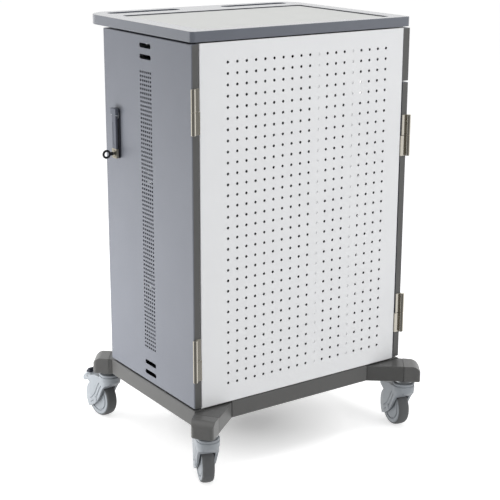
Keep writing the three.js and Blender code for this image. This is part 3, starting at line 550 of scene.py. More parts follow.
rack = {"slots": 7, "plate": 2.0, "plateRadius": 4, "finRadius": 24, "footRadius": 0.5, "edge": 0.6}
for node in ("lower_divider_rack", "middle_divider_rack", "upper_divider_rack"):
    x0, x1, y0, y1, z0, z1 = extent(node)
    shape = bmesh.new()
    slab(shape, "z", rounded(x0, x1, y0, y1, rack["plateRadius"]), z0, z0 + rack["plate"])
    radii = [rack["footRadius"]] * 2 + [rack["finRadius"]] * 2
    fin = rounded(y0, y1, z0 + rack["plate"] + inside["gap"], z1, radii, 6)
    for i in range(1, rack["slots"]):
        x = x0 + (x1 - x0) * i / rack["slots"]
        slab(shape, "x", fin, x - rack["plate"] / 2, x + rack["plate"] / 2)
    makePiece(node, shape, "greyAbs", "cabinet", [node], rack["edge"])

strip = {"outlets": 8, "outletHalf": 14, "outletRadius": 3, "recess": 2.5, "edge": 1.2, "edgeBand": 2,
         "pins": ((-6, -3, 2.2), (6, -3, 2.2), (0, 6, 2.4)), "pinDepth": 8}
for node in ("left_power_strip", "right_power_strip"):
    x0, x1, y0, y1, z0, z1 = extent(node)
    xm, h, band = (x0 + x1) / 2, strip["outletHalf"], strip["edgeBand"]
    frames, pins = [], []
    for i in range(strip["outlets"]):
        zm = z0 + (z1 - z0) * (i + 0.5) / strip["outlets"]
        frames.append(rounded(xm - h, xm + h, zm - h, zm + h, strip["outletRadius"], 3))
        pins.append([disc(xm + x, zm + z, radius, 10) for x, z, radius in strip["pins"]])
    sunk = y1 - strip["recess"]
    shape = bmesh.new()
    cap(shape, "y", y0, rect(x0, x1, z0, z1))
    cap(shape, "y", y1, rect(x0, x1, z0, z1), frames)
    wall(shape, "y", rect(x0, x1, z0, z1), y0, y1)
    for outline, holes in zip(frames, pins):
        wall(shape, "y", outline, y1, sunk)
        cap(shape, "y", sunk, outline, holes)
        for hole in holes:
            wall(shape, "y", hole, sunk, sunk - strip["pinDepth"])
            cap(shape, "y", sunk - strip["pinDepth"], hole)
    makePiece(node, shape, "blackAbs", "cabinet", [node], strip["edge"], 2,
              lambda mid: 0.0 if x0 + band < mid.x < x1 - band and z0 + band < mid.z < z1 - band else 1.0)
print("inside")

# worktop: moulding with hand slots in its overhang, and the mat in its recess
worktop = {"thickness": 23.5, "nearRadius": 10.5, "farRadius": 65, "edge": 9.0, "lowEase": 0.55,
           "recess": 5.0, "recessGap": 0.3, "recessRadius": 8, "recessEase": 0.2,
           "seat": (-180.5, 180.5, -271.5, 271.5),
           "gripX": (-274.5, -240.5), "gripY": (65, 270), "gripRadius": 17}
x0, x1, y0, y1, z0, z1 = extent("worktop")
m0, m1, m2, m3, matFoot, matTop = extent("worktop_mat")
matBox = (m0, m1, m2, m3)
under, recessFloor = z1 - worktop["thickness"], z1 - worktop["recess"]
g0, g1 = worktop["gripX"]
gripBoxes = [(g0, g1, *sorted(sign * y for y in worktop["gripY"])) for sign in (-1, 1)]
topOutline = rounded(x0, x1, y0, y1, [worktop[k + "Radius"] for k in ("far", "near", "near", "far")], 14)
recessLoop = rounded(*grown(matBox, worktop["recessGap"]), worktop["recessRadius"])
seatLoop = rect(*worktop["seat"])
grips = [rounded(*box, worktop["gripRadius"], 8) for box in gripBoxes]
shape = bmesh.new()
cap(shape, "z", z1, topOutline, [*grips, recessLoop])
cap(shape, "z", under, topOutline, [*grips, seatLoop])
cap(shape, "z", recessFloor, recessLoop)
cap(shape, "z", z0, seatLoop)
wall(shape, "z", topOutline, under, z1)
wall(shape, "z", recessLoop, recessFloor, z1)
wall(shape, "z", seatLoop, z0, under)
for loop in grips:
    wall(shape, "z", loop, under, z1)


def topEdges(mid):
    if m0 - 1 < mid.x < m1 + 1 and m2 - 1 < mid.y < m3 + 1:
        return worktop["recessEase"] if mid.z > z1 - 1 else 0.0
    inGrip = g0 - 1 < mid.x < g1 + 1 and abs(mid.y) < worktop["gripY"][1] + 1
    return worktop["lowEase"] if inGrip or mid.z < z1 - 1 else 1.0


makePiece("worktop", shape, "mouldedTop", "cabinet", ["worktop"], worktop["edge"], 4, topEdges)
# dark sheets lining the recess around the mat and the hand slots: painted shade where their walls lie in
# shadow
shadeLining = {"matOut": 0.2, "matIn": 1.4, "matInRadius": 6.5, "matDrop": 0.8, "floorGap": 0.02,
          "gripOut": 0.1, "gripIn": 1.2, "gripFoot": 3, "gripDrop": 3.5}
shape = bmesh.new()
slab(shape, "z", rounded(*grown(matBox, shadeLining["matOut"]), worktop["recessRadius"]),
     recessFloor + shadeLining["floorGap"], z1 - shadeLining["matDrop"],
     [rounded(*grown(matBox, -shadeLining["matIn"]), shadeLining["matInRadius"])])
for box in gripBoxes:
    outer, inner = [rounded(*grown(box, -shadeLining[k]), worktop["gripRadius"] - shadeLining[k], 8)
                    for k in ("gripOut", "gripIn")]
    slab(shape, "z", outer, under + shadeLining["gripFoot"], z1 - shadeLining["gripDrop"], [inner])
makePiece("worktopPaintedShadeLinings", shape, "darkAbs", "cabinet", (), 0)
mat = {"gap": 0.2, "radius": 6, "edge": 0.6}
shape = bmesh.new()
slab(shape, "z", rounded(*grown(matBox, -shadeLining["matIn"] - mat["gap"]), mat["radius"]), matFoot, matTop)
makePiece("worktop_mat", shape, "vinylMat", "cabinet", ["worktop_mat"], mat["edge"])
print("worktop")

# base: tubes, and corner castings with end caps
bar = {"wall": 3, "corner": 4, "edge": 0.3}
for node, axis in (("right_base_bar", "y"), ("left_base_bar", "y"),
                   ("front_base_bar", "x"), ("back_base_bar", "x")):
    x0, x1, y0, y1, z0, z1 = extent(node)
    a0, a1, low, high = (x0, x1, y0, y1) if axis == "y" else (y0, y1, x0, x1)
    section = (a0, a1, z0, z1)
    shape = bmesh.new()
    slab(shape, axis, rounded(*section, bar["corner"]), low, high, [rect(*grown(section, -bar["wall"]))])
    makePiece(node, shape, "darkPowder", "cabinet", [node], bar["edge"])

casting = {"noseAngle": 54, "noseReach": 40, "noseHalf": 28, "noseCorner": 10, "noseRadius": 25,
           "noseRise": 0.3, "noseLap": 1.5, "cutHalf": 106, "cutBeyond": 12, "cutRise": 2,
           "seam": 1.0, "seamBack": 3, "seamEase": 0.2,
           "edge": 2.5, "joint": 1.6, "jointEase": 0.4, "barGap": 0.3,
           # the seam and joint sizes below are for the dark filler that paints shade into those gaps
           "seamShadeHalf": 5, "seamShadeShare": 0.94, "seamShadeIn": 1.5, "jointShadeIn": 1, "jointShadeGap": 0.1}


# bend that starts and ends a set distance from a corner
def bend(before, at, after, reach, steps=5):
    at = Vector(at)
    start, end = [at + (Vector(p) - at).normalized() * reach for p in (before, after)]
    points = []
    for i in range(steps + 1):
        t = i / steps
        points.append(tuple(start * (1 - t) ** 2 + at * 2 * t * (1 - t) + end * t * t))
    return points


def buildCasting(corner):
    s = casting
    node = corner + "_casting"
    stem = jointAt[corner + "_swivel"]
    signX, signY = math.copysign(1, stem.x), math.copysign(1, stem.y)
    stemX, stemY = abs(stem.x), abs(stem.y)
    low, high = extent(node)[4:]
    barIn, barX, _, barY = extent("right_base_bar")[:4]
    width, face = barX - barIn, extent("back_base_bar")[3]
    along = Vector((math.cos(math.radians(s["noseAngle"])), math.sin(math.radians(s["noseAngle"]))))
    across = Vector((along.y, -along.x))
    middle = Vector((stemX, stemY)) + along * s["noseReach"]
    right, left = middle + across * s["noseHalf"], middle - across * s["noseHalf"]
    jointX, jointY, inner = barX + s["joint"], barY + s["joint"], face - width - s["barGap"]
    sideEnd, frontEnd = (barX, jointY), (jointX, face)
    plan = [sideEnd, *bend(sideEnd, right, left, s["noseCorner"]),
            *bend(right, left, frontEnd, s["noseCorner"]), frontEnd,
            (jointX, inner), (barX - width, inner), (barX - width, jointY)]
    seamAt = stemX * along.x + stemY * along.y - s["seamBack"]
    mirrored = lambda points: [(signX * x, signY * y) for x, y in points]
    arm = mirrored(clipLoop(plan, along.x, along.y, seamAt - s["seam"] / 2))
    tip = mirrored(clipLoop(plan, -along.x, -along.y, -seamAt - s["seam"] / 2))
    core = clipLoop(plan, along.x, along.y, seamAt + s["seamShadeHalf"])
    core = clipLoop(core, -along.x, -along.y, -seamAt + s["seamShadeHalf"])
    place = (Matrix.Translation((stem.x, stem.y, 0))
             @ Matrix.Rotation(math.atan2(signY * along.y, signX * along.x), 4, "Z"))
    atSeam = lambda mid: abs(signX * mid.x * along.x + signY * mid.y * along.y - seamAt) < 1
    atBars = lambda mid: abs(mid.x) < barX + 2 and abs(mid.y) < face + 0.1

    shape = bmesh.new()
    slab(shape, "z", arm, low, high)
    makePiece(node, shape, "castPaint", "cabinet", [node], s["edge"], 3,
              lambda mid: s["seamEase"] if atSeam(mid) else (s["jointEase"] if atBars(mid) else 1.0))
    shape, cutter = bmesh.new(), bmesh.new()
    slab(shape, "z", tip, low, high)
    turnFrom, beyond = s["noseReach"] - s["noseRadius"] + s["noseLap"], s["noseReach"] + s["cutBeyond"]
    over = high + s["cutRise"]
    rounding = arc(turnFrom, high + s["noseRise"] - s["noseRadius"], s["noseRadius"], 90, 0, 14)
    slab(cutter, "y", [*rounding, (beyond, high - s["noseRadius"]), (beyond, over), (turnFrom, over)],
         -s["cutHalf"], s["cutHalf"])
    bmesh.ops.transform(cutter, matrix=place, verts=cutter.verts)
    shape = combine(shape, cutter)
    # end cap in the lighter copy of the casting paint, a painted highlight
    makePiece(corner + "EndCap", shape, "castCapPaintedLight", "cabinet", (), s["edge"], 3,
              lambda mid: s["seamEase"] if atSeam(mid) else 1.0)

    # dark filler in the seam and in the joints to the two bars: painted shade for the shadow in those gaps
    share, i, g = s["seamShadeShare"], s["jointShadeIn"], s["jointShadeGap"]
    shape = bmesh.new()
    core = [(stemX + (x - stemX) * share, stemY + (y - stemY) * share) for x, y in core]
    slab(shape, "z", mirrored(core), low + s["seamShadeIn"], high - s["seamShadeIn"])
    for loop in (rect(barX - width + i, barX - i, barY + g, jointY + i),
                 rect(barX + g, jointX + i, inner + i, face - i)):
        slab(shape, "z", mirrored(loop), low + i, high - i)
    makePiece(corner + "SeamPaintedShade", shape, "blackAbs", "cabinet", (), 0)


corners = ("front_right", "front_left", "back_right", "back_left")
for corner in corners:
    buildCasting(corner)
print("base")

# casters, built with the swivel axis at the origin and the axle along +x
# points of the pedal's pad and release tab are measured from its pivot, of its toe from the tip
pedal = {"width": 30, "reach": 34, "fall": 22, "pivotRadius": 5, "edge": 1.4, "room": 0.5, "roomBefore": 7,
         "toe": ((-9, -0.5), (-2, 0), (0, 3), (0, 7)), "toePull": (-3, -8),
         "padPull": (24, -2), "padEnd": (16, 4), "releaseIn": 2.5, "releaseEdge": 1.0,
         "release": ((3, 5.3), (15, 4.8), (22, 0.6), (21, 5), (11, 16), (4, 16)),
         "pinRadius": 2.4, "pinReach": 25.5, "pinSink": 0.2}
# crown is (inset, drop) and hub cap (radius, rise); points of the cheek's edge are measured from the axle
caster = {"crownRadius": 28, "crown": ((2, 0), (0.6, 0.6), (0, 2), (0, 4.2), (3, 4.8), (3, 7.6), (0, 8.2)),
          "crownLip": 10, "skirt": 30, "beak": 11, "front": 25, "lipReach": 32, "edge": 0.9,
          "cheekHalf": 27.2, "cheekRadius": 46.8, "cheekNotch": 62, "cheekTip": -42, "cheekDraft": 0.55,
          "tipPull": (13, -23.8), "waistPull": (-4, -12), "waist": (-16, 4), "risePull": (-28, 20),
          "archPull": (-36, 44), "trail": 38, "horn": ((49, 54.5), (52, 51), (49, 46)),
          "planStraight": 62, "planEnd": 91, "planTaper": 7, "planSpare": 5, "planHigh": 200,
          "slotHalf": 18.0, "slotRadius": 52.4, "slotFrom": -20, "slotTo": 100, "slotFoot": -5,
          "grooves": (9, 19), "grooveWidth": 1.8, "grooveDepth": 2.6, "grooveSpare": 3,
          "hubCap": ((0, -0.4), (7.6, -0.4), (7.6, 0.8), (6, 1.6), (0, 1.9)), "hubEdge": 0.3,
          "axleRadius": 4, "axleSink": 0.2, "axleEdge": 0.2}
# half profiles of (radius, distance from the middle), the tyre's outwards from rim and inwards from tread
wheel = {"core": ((4.6, 15.6), (16, 15.6), (17.5, 14.6), (31, 14.6), (32.2, 12), (34.2, 12),
                  (35.4, 14.8), (42.6, 15.2), (44, 14)), "coreEdge": 0.4, "rimRadius": 44.1,
         "rim": ((0, 13.6), (1, 14.6)), "tread": ((3, 13.9), (1.6, 11.8), (0.7, 8.8), (0.2, 5), (0, 1.5))}
stemPin = {"radius": 5.6, "bearing": 20, "collar": 24.5, "collarRound": (1.0, 0.8),
           "low": 0.3, "ledge": 3.9, "high": 9.4}


# front edge of the cheek, from its tip under the hub up to the crown
def cheekSweep(axleZ, top):
    s, t = caster, math.radians(caster["cheekTip"])
    c, r = s["trail"], s["cheekRadius"]
    tip = (c + r * math.cos(t), axleZ + r * math.sin(t))
    tipPull, waistPull, waist, risePull, archPull = [
        (c + s[k][0], axleZ + s[k][1]) for k in ("tipPull", "waistPull", "waist", "risePull", "archPull")]
    lower = bezier(tip, tipPull, waistPull, waist, 9)
    upper = bezier(waist, risePull, archPull, (-s["front"] + s["beak"], top - s["skirt"]), 10)
    return lower + upper[1:]


# comma seen from the side: crown, horn at the back, round about the axle, then the front edge
def cheekOutline(axleZ, top):
    s = caster
    c, lip, beak = s["trail"], top - s["crownLip"], s["beak"]
    return [(-s["front"], lip), (s["lipReach"], lip), *[(c + x, axleZ + z) for x, z in s["horn"]],
            *arc(c, axleZ, s["cheekRadius"], s["cheekNotch"], s["cheekTip"], 18),
            *cheekSweep(axleZ, top)[1:],
            *arc(-s["front"] + beak, top - s["skirt"] + beak, beak, 270, 180, 5)[1:]]


# draft that thins the cheeks towards the floor
def thin(shape, top):
    s, lip = caster, top - caster["crownLip"]
    for vert in shape.verts:
        if abs(vert.co.y) > s["slotHalf"] + 1:
            keep = 1 - s["cheekDraft"] * (lip - vert.co.z) / lip
            vert.co.y = math.copysign(s["slotHalf"] + (abs(vert.co.y) - s["slotHalf"]) * keep, vert.co.y)


# strip that follows a line of points at an offset
def follow(points, offset, width):
    sides = ([], [])
    for i, p in enumerate(points):
        a, b = Vector(points[max(i - 1, 0)]), Vector(points[min(i + 1, len(points) - 1)])
        normal = Vector((b.y - a.y, a.x - b.x)).normalized()
        for side, distance in zip(sides, (offset, offset + width)):
            side.append(tuple(Vector(p) + normal * distance))
    return sides[0] + sides[1][::-1]


# half profile and its mirror image on the other side of the middle
def bothSides(profile):
    return [(radius, -level) for radius, level in profile] + list(profile)[::-1]


# place of a caster's own frame, its x axis through a given joint, and that joint's distance and height
def casterPlace(corner, joint):
    stem, end = jointAt[corner + "_swivel"], jointAt[corner + joint]
    yaw = math.atan2(end.y - stem.y, end.x - stem.x)
    place = Matrix.Translation((stem.x, stem.y, 0)) @ Matrix.Rotation(yaw, 4, "Z")
    return place, (end - stem).to_2d().length, end.z


def buildCaster(corner):
    s = caster
    turn, _, axleZ = casterPlace(corner, "_wheel_spin")
    trail, top = s["trail"], extent(corner + "_fork")[5]
    forkBody, wheelBody = corner + "_fork", corner + "_wheel"
    half, gap, r, beak = s["cheekHalf"], s["slotHalf"], s["crownRadius"], s["beak"]
    taper, straight, end = half - s["planTaper"], s["planStraight"], s["planEnd"]

    # fork: cheeks cut to plan, crown added, then room for the wheel, grooves and pedal
    shape, plan = bmesh.new(), bmesh.new()
    slab(shape, "y", cheekOutline(axleZ, top), -half - s["planSpare"], half + s["planSpare"])
    planEnd = [(straight, -half), (end, -taper), (end, taper), (straight, half)]
    slab(plan, "z", arc(0, 0, half, 90, 270, 20) + planEnd, -s["planSpare"], s["planHigh"])
    shape = combine(shape, plan, "INTERSECT")
    thin(shape, top)
    crown, cutter = bmesh.new(), bmesh.new()
    skirt = top - s["skirt"]
    spin(crown, "z", 0, 0, [(0, top), *[(r - inset, top - drop) for inset, drop in s["crown"]],
                            *arc(r - beak, skirt + beak, beak, 0, -90, 5), (0, skirt)], 44)
    shape = combine(shape, crown, "UNION")
    slotFoot = [(s["slotFrom"], s["slotFoot"]), (s["slotTo"], s["slotFoot"])]
    slab(cutter, "y", arc(trail, axleZ, s["slotRadius"], 0, 180, 32) + slotFoot, -gap, gap)
    shape = combine(shape, cutter)
    cutter, sweep = bmesh.new(), cheekSweep(axleZ, top)
    for side in (-1, 1):
        low, high = sorted((side * (half - s["grooveDepth"]), side * (half + s["grooveSpare"])))
        for offset in s["grooves"]:
            slab(cutter, "y", follow(sweep[3:-3], offset, s["grooveWidth"]), low, high)
    thin(cutter, top)
    shape = combine(shape, cutter)
    if corner + "_brake_press" in jointAt:
        cutter = bmesh.new()
        pivotX, room = casterPlace(corner, "_brake_press")[1], pedal["width"] / 2 + pedal["room"]
        slab(cutter, "y", rect(pivotX - pedal["roomBefore"], s["slotTo"], axleZ, top), -room, room)
        shape = combine(shape, cutter)
    makePiece(forkBody, shape, "casterShell", forkBody, [forkBody], s["edge"], 2, turn=turn, clamp=False)

    lip = top - s["crownLip"]
    hub = gap + (half - gap) * (1 - s["cheekDraft"] * (lip - axleZ) / lip)
    shape = bmesh.new()
    for side in (-1, 1):
        spin(shape, "y", trail, axleZ, [(radius, side * (hub + rise)) for radius, rise in s["hubCap"]], 28)
    makePiece(corner + "HubCaps", shape, "casterShell", forkBody, (), s["hubEdge"], 2, turn=turn)

    # wheel: plate, groove and rim band of the core, then the tyre
    shape = bmesh.new()
    spin(shape, "y", trail, axleZ, bothSides(wheel["core"]), 48, closed=True)
    makePiece(corner + "WheelCore", shape, "wheelCore", wheelBody, (), wheel["coreEdge"], turn=turn)
    tyre = [(wheel["rimRadius"] + x, y) for x, y in wheel["rim"]]
    tyre += [(axleZ - x, y) for x, y in wheel["tread"]]
    shape = bmesh.new()
    spin(shape, "y", trail, axleZ, bothSides(tyre), 64, closed=True)
    makePiece(wheelBody, shape, "tyre", wheelBody, [wheelBody], 0, turn=turn)
    shape = bmesh.new()
    axleEnd, radius = hub - s["axleSink"], s["axleRadius"]
    spin(shape, "y", trail, axleZ, [(0, -axleEnd), (radius, -axleEnd), (radius, axleEnd), (0, axleEnd)], 24)
    makePiece(corner + "_axle", shape, "zinc", forkBody, [corner + "_axle"], s["axleEdge"], turn=turn)
    foot, head = extent(corner + "_stem")[4:]
    low, ledge, high = [top + stemPin[k] for k in ("low", "ledge", "high")]
    r, bearing, collar, (inset, drop) = [stemPin[k] for k in ("radius", "bearing", "collar", "collarRound")]
    shape = bmesh.new()
    spin(shape, "z", 0, 0, [(0, foot), (r, foot), (r, low), (bearing, low), (bearing, ledge),
                            (collar - inset, ledge), (collar, ledge + drop), (collar, high - drop),
                            (collar - inset, high), (r, high), (r, head), (0, head)], 44)
    makePiece(corner + "_stem", shape, "zinc", "cabinet", [corner + "_stem"], 0, turn=turn)


for corner in corners:
    buildCaster(corner)
print("casters")

# brake pedals on the far casters: a tab to press and a dark one above it that lets go
for corner in ("front_left", "back_left"):
    body = corner + "_brake_pedal"
    turn, x, z = casterPlace(corner, "_brake_press")
    half, tip, fall = pedal["width"] / 2, x + pedal["reach"], z - pedal["fall"]
    toe = [(tip + a, fall + b) for a, b in pedal["toe"]]
    toePull = (tip + pedal["toePull"][0], z + pedal["toePull"][1])
    padPull, padEnd = [(x + pedal[k][0], z + pedal[k][1]) for k in ("padPull", "padEnd")]
    shape = bmesh.new()
    slab(shape, "y", [*arc(x, z, pedal["pivotRadius"], 90, 250, 8), *toe[:-1],
                      *bezier(toe[-1], toePull, padPull, padEnd, 6)], -half, half)
    makePiece(body, shape, "casterShell", body, [body], pedal["edge"], 3, turn=turn)
    shape, inset = bmesh.new(), half - pedal["releaseIn"]
    slab(shape, "y", [(x + a, z + b) for a, b in pedal["release"]], -inset, inset)
    makePiece(corner + "BrakeRelease", shape, "darkAbs", body, (), pedal["releaseEdge"], 2, turn=turn)
    shape, r = bmesh.new(), pedal["pinRadius"]
    for side in (-1, 1):
        start, end = side * (half - pedal["pinSink"]), side * pedal["pinReach"]
        spin(shape, "y", x, z, [(0, start), (r, start), (r, end), (0, end)], 16)
    makePiece(corner + "PedalPin", shape, "zinc", body, (), 0, turn=turn)
print("pedals")

# lift-off hinges: rolled knuckles on flat leaves, the frame leaf reaching in behind the door
hinge = {"radius": 5.5, "round": 0.6, "leaf": 2.0, "leafX": 202.8, "leafInset": 0.2, "split": 0.5,
         "wing": 1.8, "wingLap": 0.5, "edge": 0.35,
         "pinRadius": 2.8, "pinTip": 2.2, "pinRoot": 1, "pinPoint": 1}
for name, body in (("front_upper", "front_door"), ("front_lower", "front_door"),
                   ("back_upper", "back_door"), ("back_lower", "back_door")):
    side = -1 if name.startswith("front") else 1
    pin = jointAt[body + "_hinge"]
    split = extent(f"{name}_hinge_door_leaf")[4] - hinge["split"]
    for part, rides in (("frame", "cabinet"), ("door", body)):
        node = f"{name}_hinge_{part}_leaf"
        x0, x1, y0, y1, z0, z1 = extent(node)
        head = split if part == "frame" else z1
        r, e, leafX = hinge["radius"], hinge["round"], hinge["leafX"]
        low, high = z0 + hinge["leafInset"], head - hinge["leafInset"]
        shape = bmesh.new()
        knuckle = [(0, z0), (r - e, z0), (r, z0 + e), (r, head - e), (r - e, head), (0, head)]
        spin(shape, "z", pin.x, pin.y, knuckle, 28)
        inner = y1 if side < 0 else y0
        slab(shape, "z", rect(leafX, leafX + hinge["leaf"], *sorted((pin.y, inner))), low, high)
        if part == "frame":
            wing = sorted((inner, inner + side * hinge["wing"]))
            slab(shape, "z", rect(x0, leafX + hinge["wingLap"], *wing), low, high)
            r, tip, root = hinge["pinRadius"], hinge["pinTip"], head - hinge["pinRoot"]
            post = [(0, root), (r, root), (r, z1 - hinge["pinPoint"]), (tip, z1), (0, z1)]
            spin(shape, "z", pin.x, pin.y, post, 20)
        makePiece(node, shape, "nickel", rides, [node], hinge["edge"])
print("hinges")

# swing handle, its lock and key
handle = {"corner": 7, "edge": 0.9, "recess": 1.6, "pocketHalf": 10, "pocketRadius": 3,
          "pocketFoot": 26, "pocketHead": 15, "shaft": 5, "shaftRoom": 0.6, "shaftRound": 0.6,
          "discRadius": 13.2, "discRound": 0.4, "discFront": 1.7, "discBack": 0.3,
          "earInner": 9.8, "earOuter": 12.8, "earHalf": 3.4, "earGap": 0.1, "spindleEdge": 0.3}
x0, x1, plateFace, plateBack, plateFoot, plateHead = extent("handle_base")
xm, pivotY, lockZ = handleX, jointAt["handle_lift"].y, jointAt["front_lock_turn"].z
leverFace, leverBack = extent("handle_lever")[2:4]
outline = rounded(x0, x1, plateFoot, plateHead, handle["corner"])
pocket = rounded(xm - handle["pocketHalf"], xm + handle["pocketHalf"], plateFoot + handle["pocketFoot"],
                 pivotZ - handle["pocketHead"], handle["pocketRadius"])
pocketFloor = plateFace + handle["recess"]
bore = disc(xm, pivotZ, handle["shaft"] + handle["shaftRoom"], 20)
shape = bmesh.new()
cap(shape, "y", plateBack, outline, [bore])
cap(shape, "y", plateFace, outline, [bore, pocket])
cap(shape, "y", pocketFloor, pocket)
wall(shape, "y", outline, plateFace, plateBack)
wall(shape, "y", pocket, plateFace, pocketFloor)
wall(shape, "y", bore, plateFace, plateBack)
makePiece("handle_base", shape, "darkAbs", "front_door", ["handle_base"], handle["edge"], 2)

discFront, discBack = plateFace - handle["discFront"], plateFace - handle["discBack"]
r, shaft, shaftEnd = handle["discRadius"], handle["shaft"], extent("handle_spindle")[3]
ear, earFoot = handle["earHalf"], discFront + handle["earGap"]
shape = bmesh.new()
e, t = handle["discRound"], handle["shaftRound"]
spin(shape, "y", xm, pivotZ, [(0, discFront), (r - e, discFront), (r, discFront + e), (r, discBack),
                              (shaft, discBack), (shaft, shaftEnd - t), (shaft - t, shaftEnd),
                              (0, shaftEnd)], 32)
for sign in (-1, 1):
    a, b = sorted((xm + sign * handle["earInner"], xm + sign * handle["earOuter"]))
    slab(shape, "x", [(earFoot, pivotZ - ear), *arc(pivotY, pivotZ, ear, 270, 90, 10),
                      (earFoot, pivotZ + ear)], a, b)
makePiece("handle_spindle", shape, "zinc", "handle_spindle", ["handle_spindle"], handle["spindleEdge"])

# hood over the pivot, hollow for the lever's head
hood = {"half": 12.9, "front": 1.7, "back": 0.1, "headGap": 0.4, "radii": [1.2, 1.2, 0.1, 0.1], "edge": 0.6,
        "hollowHalf": 12.82, "hollowFront": 0.5, "hollowBack": 0.15, "hollowRise": 3.8}
hoodPlan = rounded(xm - hood["half"], xm + hood["half"], leverFace - hood["front"],
                   discFront - hood["back"], hood["radii"])
hollow = rect(xm - hood["hollowHalf"], xm + hood["hollowHalf"], leverFace - hood["hollowFront"],
              discFront - hood["hollowBack"])
hoodTop, hollowTop = plateHead - hood["headGap"], pivotZ + hood["hollowRise"]
shape = bmesh.new()
cap(shape, "z", pivotZ, hoodPlan, [hollow])
cap(shape, "z", hoodTop, hoodPlan)
cap(shape, "z", hollowTop, hollow)
wall(shape, "z", hoodPlan, pivotZ, hoodTop)
wall(shape, "z", hollow, pivotZ, hollowTop)
makePiece("pivotHood", shape, "greyAbs", "handle_spindle", (), hood["edge"], 2)
cam = {"radius": 8, "bore": 5.3, "edge": 0.4}
x0, x1, y0, y1, z0, z1 = extent("front_latch_cam")
shape = bmesh.new()
slab(shape, "y", rounded(x0, x1, z0, z1, cam["radius"]), y0, y1, [disc(xm, pivotZ, cam["bore"], 20)])
makePiece("front_latch_cam", shape, "zinc", "handle_spindle", ["front_latch_cam"], cam["edge"])

# lever with a sunk field on its face, and the lock housing at its foot
lever = {"half": 9.5, "foot": 9, "edge": 1.2, "field": 0.6, "fieldHalf": 6, "fieldRadius": 2,
         "fieldFoot": 22, "fieldHead": 18, "fieldEase": 0.25,
         "lockHalf": 12, "lockRadii": [5, 5, 2, 2], "lockProud": 0.6, "lockEdge": 0.9,
         "plugBore": 8.5, "boreGap": 0.03, "boreFloor": 1.6}
half, thick, foot = lever["half"], (leverBack - leverFace) / 2, lockZ + lever["foot"]
fieldFoot, fieldHead = lockZ + lever["fieldFoot"], pivotZ - lever["fieldHead"]
shape, cutter = bmesh.new(), bmesh.new()
slab(shape, "x", [(leverBack, foot), *arc(pivotY, pivotZ, thick, 0, 180, 12), (leverFace, foot)],
     xm - half, xm + half)
w = lever["fieldHalf"]
slab(cutter, "y", rounded(xm - w, xm + w, fieldFoot, fieldHead, lever["fieldRadius"]),
     leverFace - 1, leverFace + lever["field"])
shape = combine(shape, cutter)
inField = lambda mid: abs(mid.x - xm) < half - 1 and fieldFoot - 2 < mid.z < fieldHead + 2
makePiece("handle_lever", shape, "greyAbs", "handle_lever", ["handle_lever"], lever["edge"], 2,
          lambda mid: lever["fieldEase"] if inField(mid) else 1.0)
h = lever["lockHalf"]
shape = bmesh.new()
slab(shape, "y", rounded(xm - h, xm + h, lockZ - h, lockZ + h, lever["lockRadii"]),
     leverFace - lever["lockProud"], leverBack, [disc(xm, lockZ, lever["plugBore"], 28)])
slab(shape, "y", disc(xm, lockZ, lever["plugBore"] - lever["boreGap"], 28),
     leverBack - lever["boreFloor"], leverBack)
makePiece("lockHousing", shape, "lockNickel", "handle_lever", (), lever["lockEdge"], 2)

key = {"wayHalf": (1.5, 3.9), "wayDepth": 4, "plugEdge": 0.5,
       "bladeHalf": (0.9, 3.4), "bladeFrom": 9, "bladeEdge": 0.2,
       "bowRadius": 11, "bowHole": 5.8, "bowSpare": 0.6,
       "collarReach": 8, "collarLap": 1.5, "collarHalf": 4.5, "edge": 0.9}
x0, x1, y0, y1, z0, z1 = extent("front_lock_plug")
w, h = key["wayHalf"]
plug, keyway = disc(xm, lockZ, (x1 - x0) / 2, 28), rect(xm - w, xm + w, lockZ - h, lockZ + h)
shape = bmesh.new()
cap(shape, "y", y1, plug)
cap(shape, "y", y0, plug, [keyway])
cap(shape, "y", y0 + key["wayDepth"], keyway)
wall(shape, "y", plug, y0, y1)
wall(shape, "y", keyway, y0, y0 + key["wayDepth"])
makePiece("front_lock_plug", shape, "lockNickel", "front_lock", ["front_lock_plug"], key["plugEdge"])
x0, x1, y0, y1, z0, z1 = extent("front_key")
bowY, (w, h) = y0 + key["bowRadius"], key["bladeHalf"]
shape = bmesh.new()
slab(shape, "x", rect(bowY + key["bladeFrom"], y1, lockZ - h, lockZ + h), xm - w, xm + w)
makePiece("keyBlade", shape, "zinc", "front_lock", (), key["bladeEdge"])
left, right = x0 - key["bowSpare"], x1 + key["bowSpare"]
neck, h = bowY + key["bowRadius"] - key["collarLap"], key["collarHalf"]
shape = bmesh.new()
slab(shape, "x", disc(bowY, lockZ, key["bowRadius"], 36), left, right,
     [disc(bowY, lockZ, key["bowHole"], 28)])
collar = rounded(neck, neck + key["collarReach"], lockZ - h, lockZ + h, key["collarLap"])
slab(shape, "x", collar, left, right)
makePiece("front_key", shape, "blackAbs", "front_lock", ["front_key"], key["edge"], 2)

# back door lock: dished face, rim, then the barrel, as (radius, depth from the face)
backLock = {"face": ((0, 0.8), (4, 0.8), (4.6, 0), (10.5, 0), (12, 1.2), (12, 3), (9, 3)), "edge": 0.2}
x0, x1, y0, y1, z0, z1 = extent("back_lock_plug")
profile = [(radius, y1 - depth) for radius, depth in backLock["face"]]
shape = bmesh.new()
spin(shape, "y", backLockX, backLockZ, [*profile, (profile[-1][0], y0), (0, y0)], 36)
makePiece("back_lock_plug", shape, "lockNickel", "back_lock", ["back_lock_plug"], backLock["edge"])
x0, x1, y0, y1, z0, z1 = extent("back_lock_cam")
shape = bmesh.new()
slab(shape, "y", rounded(x0, x1, z0, z1, cam["radius"]), y0, y1)
makePiece("back_lock_cam", shape, "zinc", "back_lock", ["back_lock_cam"], cam["edge"])
print("handle and locks")

